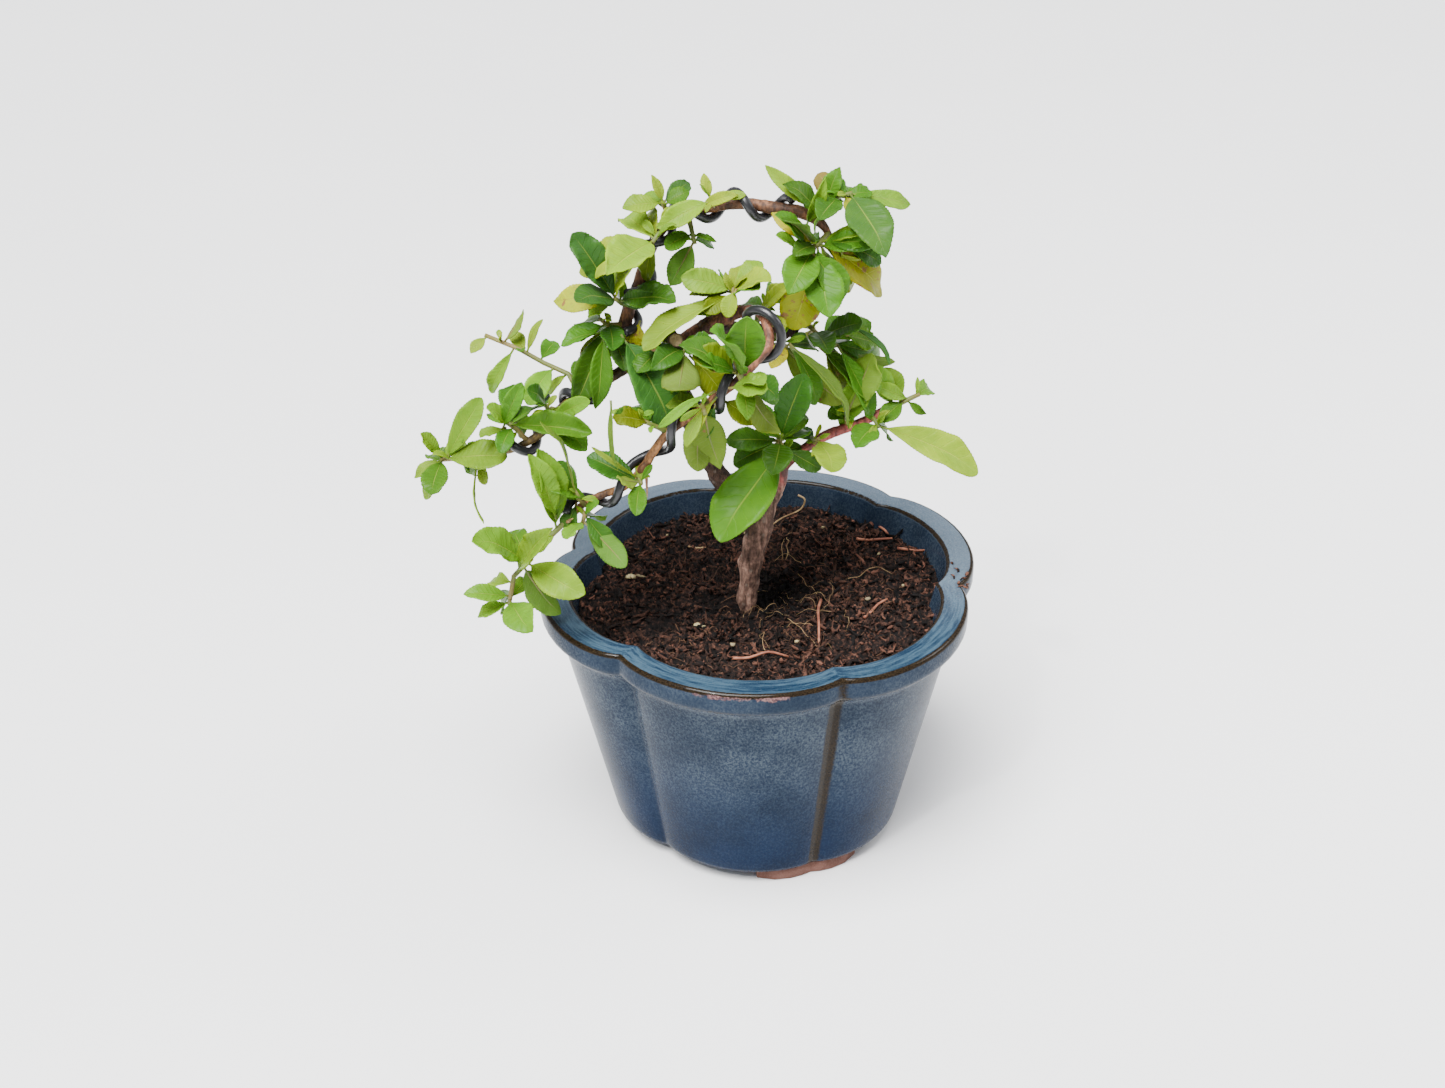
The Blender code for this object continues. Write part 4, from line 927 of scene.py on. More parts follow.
def meltedLimbs():
    # the limbs are drawn as tubes and melted into one skin
    item = addItem("limbs", meshOf(tubes(list(limbRoutes.values()), 16), "limbs"))
    melt = item.modifiers.new("melt", "REMESH")
    melt.mode = "VOXEL"
    melt.voxel_size = wood["voxel"] * mm
    melt.adaptivity = 0.0
    ease = item.modifiers.new("ease", "SMOOTH")
    ease.factor = 0.5
    ease.iterations = 4
    skin = bmesh.new()
    addMesh(skin, bakedMesh(item))
    return skin


def barkTone(closest, spots):
    # the barks of the nearest limbs, mixed so that one runs into the next
    blend = Vector((0.0, 0.0, 0.0))
    total = 0.0
    for _, index, distance in closest:
        weight = 1.0 / (distance + 0.3) ** 2
        blend += Vector(wood["barks"][wood["limbs"][spots[index][1]][1]]) * weight
        total += weight
    return blend / total


def barkHeight(here, limb, old):
    # how far the bark stands proud of the skin
    rough = sum(noise.noise(Vector((here.x, here.y, here.z * tall)) * scale) * height
                for scale, height, tall in wood["lumps"])
    swell = wood["swells"].get(limb, 0.0)
    for x, y, z, reach, height in wood["knots"]:
        away = (here - Vector((x, y, z))).length / reach
        swell += height * math.exp(-away * away * 1.6)
    return rough * (0.25 + 0.75 * old) + swell


def makeWood():
    # gives the melted limbs their bark, and the stub its pale cut face
    skin = meltedLimbs()
    tint = skin.verts.layers.float_color.new("barkTint")
    cutFace = skin.verts.layers.float.new("cutFace")
    age = skin.verts.layers.float.new("age")
    spots = [(point, name) for name, route in limbRoutes.items() for point in route]
    near = KDTree(len(spots))
    for index, (point, _) in enumerate(spots):
        near.insert(point.xyz, index)
    near.balance()
    stubEnd = limbRoutes["cutStub"][-1]
    stubWay = (stubEnd.xyz - limbRoutes["cutStub"][-3].xyz).normalized()
    skin.normal_update()
    for vert in skin.verts:
        here = toPlant(vert.co)
        closest = near.find_n(here, 3)
        point, name = spots[closest[0][1]]
        old = smoothstep(*wood["oldRadii"], point[3])
        colour = barkTone(closest, spots)
        if name == "bridge":
            colour = colour.lerp(Vector(wood["ripe"]), smoothstep(166.0, 186.0, here.z) * 0.75)
        vert[tint] = (*colour, 1.0)
        vert[age] = old
        beyond = (here - stubEnd.xyz).dot(stubWay)
        if name == "cutStub" and beyond > -0.4:
            away = (here - stubEnd.xyz - stubWay * beyond).length / wood["cutRadius"]
            vert[cutFace] = smoothstep(0.55, 0.25, abs(away - 0.4))
        else:
            vert.co += vert.normal * barkHeight(here, name, old) * mm
    pieceFrom("woodSkin", skin, [barkFinish()], ["wood"])


def makeThorns():
    routes = []
    for x, y, z, heading, rise, length in wood["thorns"]:
        root = Vector((x, y, z))
        way = direction(heading, rise)
        bend = Vector((0.0, 0.0, 0.05 * length))
        routes.append([(*(root + way * length * share + bend * share * (1.0 - share)),
                        wood["thornRadius"] * (1.0 - share) ** 0.7 + 0.06)
                       for share in wood["thornShares"]])
    pieceFrom("thorns", tubes(routes, 10), [thornFinish()], ["wood"])


print("wires")
wires = {
    "radius": 1.5,
    "gap": 0.3,
    "viewSide": Vector((0.0, -0.9, 0.44)).normalized(),     # towards the photo's camera; turns start there
    "turnPoints": 26,
    "runs": {       # limb, winding, shares of the limb at each front crossing, first and last turn, node
        "wireArch": ("arch", 1, (0.155, 0.282, 0.43, 0.575, 0.727, 0.87), 0.0, 4.85, "wire_arch"),
        "wireFront": ("bridge", -1, (0.285, 0.497, 0.639, 0.84, 0.99), -0.2, 3.9, "wire_front"),
        "wireLeft": ("lowLimb", 1, (0.41, 0.62, 0.81, 0.99), -0.3, 2.4, "wire_left"),
    },
}


def crossing(shares, turn):
    index = min(max(int(math.floor(turn)), 0), len(shares) - 2)
    return shares[index] + (shares[index + 1] - shares[index]) * (turn - index)


def wireFinish():
    finish = Finish("blackWire", Coat_Roughness=0.2)
    wear = finish.grain(1.1, 4.0, None, 0.7)
    scratch = finish.grain(6.0, 2.0, finish.places((1.0, 1.0, 0.15)))
    bare = (wear.between(0.66, 0.74) * scratch.between(0.45, 0.6)) * 0.7
    finish.bump(wear + scratch * 0.3, 0.12, 0.4)
    return finish.feed(Base_Color=finish.mixed(bare, (0.012, 0.012, 0.014), (0.25, 0.25, 0.26)),
                       Roughness=0.27 + wear * 0.18, Metallic=0.25 + bare * 0.6, Coat_Weight=0.3)


def makeWires():
    finish = wireFinish()
    for name, (limb, way, shares, first, last, node) in wires["runs"].items():
        route = limbRoutes[limb]
        count = round((last - first) * wires["turnPoints"])
        points = []
        for index in range(count + 1):
            turn = first + (last - first) * index / count
            share = crossing(shares, turn)
            here = placeOn(route, share)
            ahead = placeOn(route, min(1.0, share + 0.01)).xyz
            ahead -= placeOn(route, max(0.0, share - 0.01)).xyz
            ahead.normalize()
            side = ahead.cross(wires["viewSide"]).normalized()
            front = side.cross(ahead)
            angle = math.tau * way * turn
            reach = here[3] + wires["radius"] + wires["gap"]
            reach += 0.2 * noise.noise(Vector((turn * 1.7, 3.0, 0.0)))
            place = here.xyz + reach * (math.cos(angle) * front + math.sin(angle) * side)
            points.append((*place, wires["radius"]))
        pieceFrom(name, tubes([points], 14), [finish], [node])


makeWood()
makeThorns()
makeWires()


print("leaves")
leaves = {
    "stemRadii": (1.0, 0.75),
    "start": 0.45,          # how far from a stem's middle the blades begin
    "stemEnd": 0.9,
    "lift": 2.0,            # how far a shoot leaves its limb before it turns
    "footGap": 0.4,
    "narrow": 10.5,         # a packed leaf narrower than this has no fold
    "light": Vector((0.0, -0.55, 0.83)).normalized(),
    "thick": 0.34,
    "toothStep": 1.0,       # length of edge that one tooth takes
    "toothDepth": 0.21,
    "columns": 8,
    "bend": (-0.09, 0.09),      # how far a leaf's tip lies to one side, as a share of its length
    "twist": (-34.0, 34.0),     # in degrees, from stalk to tip
    "droop": (0.02, 0.11),      # how far the tip sinks, as a share of the length
    "ripple": (0.0225, 0.072),  # height of the edge's waves, as a share of the width
    "tipShape": (0.5, 0.95),    # larger is more pointed
    "footShape": (0.8, 1.15),
    "full": (0.84, 0.96),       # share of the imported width
    "shadeSpread": 0.16,        # how far each leaf's shade strays from its tint
    "closeEnough": 0.75,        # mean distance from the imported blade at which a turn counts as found
    "tests": (              # where that distance is measured: shares of the length and of the half width
        (0.3, 0.0), (0.55, 0.0), (0.8, 0.0), (0.95, 0.0),
        (0.55, 0.6), (0.55, -0.6), (0.75, 0.5), (0.75, -0.5),
    ),
    "tuftsEach": 3,         # on each shoot
    "tuftLengths": (4.0, 8.5),
    "turns": (              # the turns to try, added to a leaf's heading, rise and roll
        (0, 0, 0), (10, 0, 0), (-10, 0, 0), (0, 10, 0), (0, -10, 0), (0, 0, 30), (0, 0, -30), (18, 0, 0),
        (-18, 0, 0), (0, 18, 0), (0, -18, 0), (15, 15, 0), (-15, 15, 0), (15, -15, 0), (-15, -15, 0),
        (0, 12, 50), (0, -12, -50), (28, 0, 20), (-28, 0, -20), (0, 28, 0), (0, -28, 0), (28, 20, 30),
        (-28, 20, -30), (28, -20, 0), (-28, -20, 0), (40, 0, 40), (-40, 0, -40),
    ),
    "tints": {      # each leaf's colour, its spottedness and its gloss
        "dark": ((0.030, 0.090, 0.0080), 0.0, 1.0), "mid": ((0.046, 0.132, 0.0070), 0.0, 0.8),
        "light": ((0.100, 0.205, 0.010), 0.0, 0.7), "lime": ((0.155, 0.245, 0.010), 0.05, 0.6),
        "yellow": ((0.260, 0.260, 0.008), 0.35, 0.5), "pale": ((0.140, 0.225, 0.014), 0.0, 0.35),
        "grey": ((0.090, 0.150, 0.014), 0.0, 0.3), "olive": ((0.080, 0.120, 0.003), 0.15, 0.5),
        "blue": ((0.030, 0.090, 0.014), 0.0, 0.9), "spotted": ((0.180, 0.190, 0.003), 0.75, 0.4),
        "bronze": ((0.150, 0.070, 0.016), 0.3, 0.6),
    },
}
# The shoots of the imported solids: the stem's route, then each leaf's place on it, heading, rise, length,
# width, roll, arch, fold and tint
shoots = {
    "shoot_left": ([(-58, 1, 168), (-64, 3, 170), (-72, 5, 173), (-80, 7, 177), (-91, 9, 181)], [
        (1.00, -125, -25, 8, 5, 0, 12, 20, "pale"),
        (0.82, 20, 55, 13, 5, 150, 10, 20, "pale"),
        (0.62, 105, 20, 10, 6, 0, 10, 25, "pale"),
        (0.60, -25, 70, 14, 3.5, 0, 10, 10, "pale"),
        (0.72, -160, -60, 18, 7, 0, 18, 35, "light"),
        (0.33, -120, -15, 17, 10, 0, 28, 20, "light"),
        (0.20, 155, -45, 13, 4, 0, 12, 15, "pale"),
        (0.47, 75, 10, 12, 7, 0, 10, 20, "mid"),
        (0.10, 80, 10, 13, 8, 0, 12, 20, "mid"),
    ]),
    "spray_left_inner": ([(-79, -7, 151), (-80, -8, 155), (-83, -10, 159)], [
        (0.93, 100, 25, 17, 10, 0, 8, 45, "mid"),
        (1.00, -140, 50, 12, 7, 0, 12, 15, "light"),
        (0.90, -10, 10, 30, 13, 0, 8, 40, "mid"),
        (0.88, 50, 5, 15, 9, 0, 10, 30, "mid"),
        (0.78, 40, -25, 17, 10, 180, 10, 20, "mid"),
        (1.00, 110, 0, 12, 7, 0, 10, 20, "mid"),
        (0.72, -100, -10, 12, 7, 0, 16, 20, "mid"),
    ]),
    "spray_left_mid": ([(-70, -9, 159), (-70, -11, 164), (-70, -13, 167)], [
        (1.00, -115, 40, 14, 8, 0, 12, 20, "dark"),
        (1.00, 85, -10, 14, 8, 0, 12, 20, "dark"),
        (0.10, -70, -5, 19, 11, 0, 12, 20, "mid"),
        (0.80, 125, -30, 14, 8, 0, 12, 20, "mid"),
    ]),
    "spray_left_tip": ([(-95, -7, 145), (-100, -8, 145), (-106, -9, 145)], [
        (0.85, 15, 55, 24, 10, 0, 14, 25, "light"),
        (0.90, -15, 25, 23, 13, 0, 8, 12, "light"),
        (0.97, -160, 60, 12, 6, 0, 12, 25, "light"),
        (0.90, 70, 10, 12, 7, 0, 12, 20, "light"),
        (1.00, -90, -10, 17, 10, 0, 14, 15, "mid"),
        (1.00, 165, -65, 18, 5, 0, 12, 20, "light"),
        (1.00, -165, -25, 11, 5, 0, 25, 20, "pale"),
        (0.03, -50, -65, 10, 4, 0, 12, 20, "pale"),
        (0.12, 130, -65, 10, 6, 0, 12, 20, "mid"),
        (0.00, -90, -80, 22, 3.5, 90, 26, 10, "pale"),
        (0.70, 130, -15, 14, 8, 0, 12, 20, "mid"),
        (0.42, 75, -15, 15, 9, 0, 12, 20, "mid"),
    ]),
    "spray_front_low": ([(-66, -28, 130), (-73, -32, 126), (-76, -35, 123), (-81, -37, 118),
                         (-82, -38, 113), (-83, -38, 108)], [
        (0.07, -160, 80, 30, 14, 0, 8, 32, "light"),
        (0.50, -155, 45, 24, 14, 0, 14, 20, "light"),
        (0.65, -35, 65, 27, 11, 0, 14, 30, "light"),
        (0.50, -40, -10, 23, 14, 0, 12, 15, "light"),
        (0.55, 10, -65, 23, 12, 180, 14, 15, "mid"),
        (0.90, -165, 10, 15, 8, 0, 14, 30, "light"),
        (1.00, 180, -25, 12, 6, 0, 14, 20, "light"),
        (0.95, -60, 0, 20, 12, 0, 14, 15, "light"),
        (0.93, 50, 10, 12, 7, 0, 12, 25, "light"),
        (0.75, 140, -20, 12, 7, 0, 12, 20, "light"),
        (0.40, -20, 45, 9, 5, 0, 10, 20, "light"),
        (0.47, 120, 15, 15, 9, 0, 12, 25, "mid"),
        (0.82, 120, -55, 18, 8, 0, 12, 20, "mid"),
    ]),
    "spray_front_elbow": ([(-59, -26, 139), (-59, -28, 137), (-59, -29, 133)], [
        (1.00, -140, 5, 13, 8, 0, 8, 10, "light"),
        (0.23, -5, -55, 14, 8, 0, 14, 30, "dark"),
        (1.00, -15, -35, 20, 10, 180, 8, 15, "mid"),
        (0.45, 70, -20, 14, 8, 0, 12, 20, "mid"),
    ]),
    "spray_front_rising": ([(-58, -27, 139), (-59.5, -29.5, 142), (-61, -30, 145.5)], [
        (0.55, 145, 40, 14, 8, 0, 10, 40, "dark"),
        (1.00, -155, 75, 30, 5, 75, 10, 15, "grey"),
        (0.80, 140, 15, 17, 10, 0, 12, 25, "dark"),
    ]),
    "spray_front_node": ([(-40, -27, 149), (-40, -30, 148)], [
        (0.17, -170, 40, 19, 2, 0, 20, 0, "pale"),
        (0.90, 150, 5, 19, 11, 0, 10, 15, "dark"),
        (0.70, -130, 30, 12, 7, 180, 12, 20, "pale"),
        (0.85, -110, -20, 13, 8, 0, 12, 35, "mid"),
    ]),
    "spray_front_upper": ([(-33, -25, 166), (-36, -28, 168), (-42, -29, 172)], [
        (0.78, -135, 30, 12, 7, 0, 10, 20, "dark"),
        (0.53, -125, 15, 15, 9, 0, 12, 15, "olive"),
        (0.30, 165, 20, 15, 4, 0, 8, 10, "pale"),
        (0.42, 105, 5, 14, 8, 0, 12, 20, "mid"),
    ]),
    "spray_front_mid": ([(-19, -29, 176), (-20.5, -33, 177), (-20, -36, 178), (-19.5, -38, 177)], [
        (0.57, -175, -70, 21, 11, 150, 10, 12, "olive"),
        (0.85, 55, -60, 22, 13, 170, 10, 12, "olive"),
        (0.70, -135, -45, 13, 5, 0, 22, 15, "pale"),
        (0.47, 115, -10, 15, 9, 0, 12, 20, "grey"),
    ]),
    "spray_front_high": ([(-9, -31, 189), (-9, -34, 188), (-8, -35, 185)], [
        (0.80, -60, 25, 15, 9, 0, 8, 15, "light"),
        (0.93, 45, -30, 17, 10, 0, 10, 20, "dark"),
        (1.00, -90, -35, 12, 7, 0, 12, 15, "light"),
        (1.00, 15, -60, 22, 11, 160, 8, 10, "olive"),
        (0.07, -110, 50, 28, 17, 0, 10, 15, "mid"),
        (0.15, -155, 45, 22, 12, 0, 12, 20, "dark"),
    ]),
    "spray_heart": ([(-27, -3, 185), (-27, -9, 186), (-26, -13, 186)], [
        (1.00, -75, -10, 24, 14, 175, 10, 12, "grey"),
        (0.72, -125, -5, 17, 10, 0, 20, 25, "dark"),
        (0.95, -50, 30, 15, 9, 0, 12, 20, "dark"),
        (0.80, 120, 0, 12, 7, 0, 12, 20, "olive"),
    ]),
    "spray_upper_left": ([(-49, 4, 185), (-51, 2, 188), (-53, 0, 191)], [
        (0.60, -170, -20, 16, 8, 0, 12, 30, "mid"),
        (0.45, -170, -55, 18, 8, 0, 18, 25, "olive"),
        (0.50, -140, -70, 29, 13, 0, 22, 35, "dark"),
        (0.45, -80, -35, 15, 9, 0, 20, 30, "dark"),
        (0.45, -65, -15, 42, 19, 0, 24, 30, "dark"),
        (0.50, 115, -55, 17, 9, 0, 12, 20, "mid"),
        (0.90, 130, -25, 17, 10, 0, 12, 20, "mid"),
    ]),
    "spray_arch_foot": ([(-43, 5, 190), (-45, 3, 194), (-48, 0, 198)], [
        (1.00, -170, 60, 26, 13, 0, 10, 25, "blue"),
        (0.75, -130, 25, 20, 12, 0, 8, 8, "blue"),
        (1.00, 170, -5, 21, 11, 0, 10, 12, "yellow"),
        (1.00, 120, 10, 27, 16, 0, 12, 15, "lime"),
        (0.65, -30, 15, 22, 13, 0, 20, 15, "dark"),
        (0.55, -35, 10, 14, 8, 0, 10, 15, "blue"),
    ]),
    "spray_arch_side": ([(-33, 12, 217), (-33, 6, 219), (-36, 0, 217)], [
        (0.95, -120, 0, 27, 16, 0, 8, 25, "lime"),
        (1.00, 150, -65, 15, 7, 0, 12, 25, "olive"),
        (0.85, 125, 5, 19, 11, 0, 14, 25, "lime"),
        (0.68, 105, 10, 15, 9, 0, 12, 20, "lime"),
    ]),
    "spray_arch_shoulder": ([(-31, 12, 219), (-32, 11, 223), (-33, 9, 227)], [
        (0.88, -160, 0, 13, 8, 0, 18, 15, "lime"),
        (1.00, 180, 75, 10, 4, 0, 10, 25, "pale"),
        (0.95, 45, -5, 12, 7, 0, 12, 15, "blue"),
        (0.95, 130, 10, 8, 5, 0, 10, 15, "light"),
    ]),
    "spray_arch_top": ([(-18, 12, 225), (-18, 9, 228)], [
        (1.00, -160, -20, 19, 9, 0, 10, 25, "lime"),
        (0.97, 10, 15, 11, 4, 0, 10, 10, "pale"),
    ]),
    "spray_arch_hanging": ([(-24, 13, 220), (-24, 10, 217), (-23, 8, 213)], [
        (0.95, -165, -60, 16, 9, 170, 8, 12, "mid"),
        (0.60, -150, -5, 11, 7, 0, 10, 20, "mid"),
        (0.80, 60, -30, 12, 7, 0, 10, 20, "mid"),
    ]),
    "spray_crown_high": ([(15, 9, 223), (19, 8, 227), (22, 8, 229), (26, 8, 230)], [
        (0.15, 175, 35, 23, 6, 0, 8, 15, "pale"),
        (0.12, -165, 45, 16, 9, 0, 12, 20, "dark"),
        (0.23, 40, 70, 14, 8, 0, 14, 30, "mid"),
        (0.57, 30, 25, 12, 6, 0, 16, 20, "mid"),
        (0.75, 115, 5, 15, 9, 160, 10, 15, "bronze"),
        (0.65, -100, 0, 17, 10, 0, 10, 25, "dark"),
        (0.40, -130, -30, 11, 6, 80, 8, 10, "mid"),
        (1.00, 25, -5, 17, 10, 0, 18, 35, "mid"),
        (1.00, -55, -20, 27, 16, 0, 10, 10, "blue"),
        (1.00, 15, -20, 25, 7, 0, 10, 20, "light"),
        (1.00, 25, -60, 22, 10, 0, 10, 20, "dark"),
        (0.80, -65, -25, 12, 7, 0, 12, 20, "yellow"),
        (0.82, 70, 5, 13, 8, 0, 12, 20, "mid"),
        (0.97, 50, -30, 19, 10, 0, 12, 20, "mid"),
    ]),
    "spray_crown_low": ([(18, 7, 218), (17, 4, 216), (14, 1, 215)], [
        (0.93, -140, 45, 18, 11, 0, 12, 20, "dark"),
        (1.00, 165, 35, 17, 7, 0, 10, 20, "yellow"),
        (1.00, -140, 10, 13, 8, 0, 14, 20, "dark"),
        (0.85, 100, 10, 15, 9, 0, 12, 25, "dark"),
        (0.47, -30, 30, 19, 11, 0, 14, 20, "dark"),
        (0.57, -20, 5, 17, 8, 0, 10, 35, "light"),
        (1.00, -115, -10, 22, 13, 0, 14, 15, "mid"),
        (0.78, -85, -20, 25, 15, 0, 14, 12, "mid"),
        (0.68, 10, -55, 19, 11, 150, 12, 15, "pale"),
        (1.00, 140, -75, 27, 12, 0, 12, 15, "lime"),
        (0.97, 15, -85, 29, 15, 0, 12, 15, "spotted"),
        (0.45, 10, -45, 30, 17, 0, 12, 12, "spotted"),
        (0.65, 30, -60, 26, 9, 0, 12, 15, "olive"),
        (0.68, 110, -10, 17, 10, 0, 12, 20, "mid"),
    ]),
    "spray_middle": ([(-11, -2, 197), (-11, -2, 199), (-11, -2, 203)], [
        (0.82, -40, 30, 18, 11, 0, 12, 20, "lime"),
        (0.75, -175, 20, 17, 10, 0, 14, 20, "pale"),
        (0.65, 170, 0, 14, 7, 0, 10, 20, "olive"),
        (0.97, 90, 30, 10, 6, 0, 10, 20, "lime"),
        (0.65, -55, 0, 15, 9, 0, 14, 20, "mid"),
        (0.53, -130, -15, 12, 7, 0, 14, 25, "olive"),
        (0.57, -155, -20, 34, 13, 0, 14, 20, "pale"),
        (0.88, 65, -5, 15, 9, 0, 12, 20, "mid"),
        (0.88, 110, -5, 15, 9, 0, 12, 20, "lime"),
    ]),
    "spray_middle_back": ([(0, 2, 190), (-1, 6, 192), (0, 8, 193)], [
        (0.57, -25, 50, 13, 8, 0, 8, 25, "lime"),
        (0.42, -60, 5, 13, 8, 0, 10, 15, "lime"),
        (0.78, 115, -15, 14, 8, 0, 12, 20, "mid"),
        (0.93, 75, -5, 15, 9, 0, 12, 20, "mid"),
    ]),
    "spray_shoot_top": ([(27, 7, 150), (26.5, 4.5, 153), (26.5, 4, 155.5)], [
        (1.00, 20, 65, 22, 13, 165, 8, 10, "light"),
        (1.00, -155, 45, 7, 4, 0, 10, 20, "mid"),
        (1.00, 95, -5, 15, 9, 0, 12, 20, "mid"),
    ]),
    "spray_shoot_tip": ([(42, 10, 154), (48, 13, 156), (51, 14, 157)], [
        (0.10, -165, 55, 19, 10, 0, 10, 15, "light"),
        (0.35, 150, 65, 13, 8, 0, 10, 20, "light"),
        (0.62, -155, 30, 15, 6, 0, 10, 25, "light"),
        (0.45, -120, -5, 13, 8, 0, 12, 20, "mid"),
        (0.82, 70, -10, 14, 8, 0, 12, 20, "light"),
    ]),
    "spray_right": ([(13, 14, 182), (17, 15, 178), (21, 14, 176), (23, 13, 175)], [
        (0.80, 30, 10, 17, 9, 0, 14, 20, "mid"),
        (0.57, -30, 30, 17, 10, 0, 12, 25, "dark"),
        (0.78, 10, -25, 24, 6, 165, 22, 25, "grey"),
        (0.90, -10, -20, 19, 9, 0, 16, 35, "mid"),
        (0.40, -80, 5, 19, 11, 0, 20, 25, "dark"),
        (0.88, 5, -55, 28, 15, 0, 16, 18, "mid"),
        (0.70, 20, -65, 24, 10, 170, 10, 15, "olive"),
        (0.95, 65, -35, 18, 10, 0, 12, 20, "mid"),
        (0.60, 70, -5, 17, 10, 0, 12, 20, "mid"),
        (0.30, 100, -45, 15, 9, 0, 12, 20, "yellow"),
    ]),
    "spray_right_inner": ([(5, 4, 181), (6, -2, 182)], [
        (0.55, -10, -50, 29, 12, 175, 10, 15, "olive"),
        (0.72, -95, -5, 14, 8, 0, 14, 20, "yellow"),
        (0.88, 50, -35, 17, 10, 0, 12, 20, "dark"),
        (0.60, 115, -35, 15, 9, 0, 12, 20, "mid"),
    ]),
    "spray_shoot_low": ([(36, 5, 152), (37, 2, 151)], [
        (0.95, -5, -20, 37, 14, 0, 10, 15, "lime"),
        (0.72, -110, 0, 17, 10, 0, 12, 15, "mid"),
        (0.68, 60, -45, 15, 9, 0, 12, 20, "mid"),
    ]),
    "spray_shoot_base": ([(15, 2, 144), (16, -2, 148), (17, -4, 150)], [
        (0.82, -65, 5, 22, 13, 0, 10, 12, "lime"),
        (0.57, 110, -5, 12, 7, 0, 12, 20, "mid"),
    ]),
    "spray_spur": ([(7, -4, 141), (6, -8, 147), (4, -10, 153)], [
        (1.00, -25, 75, 26, 14, 0, 10, 20, "dark"),
        (1.00, -165, 10, 18, 10, 0, 16, 15, "dark"),
        (0.93, -105, 0, 19, 11, 0, 12, 18, "dark"),
        (0.93, -175, -25, 17, 10, 0, 12, 18, "dark"),
        (1.00, 60, 0, 15, 9, 0, 12, 20, "mid"),
        (0.72, -20, -25, 14, 8, 0, 12, 25, "dark"),
        (0.80, -135, -30, 38, 23, 0, 10, 12, "mid"),
        (0.95, 50, -5, 15, 9, 0, 12, 20, "mid"),
        (0.95, 100, 10, 14, 8, 0, 12, 25, "dark"),
    ]),
}
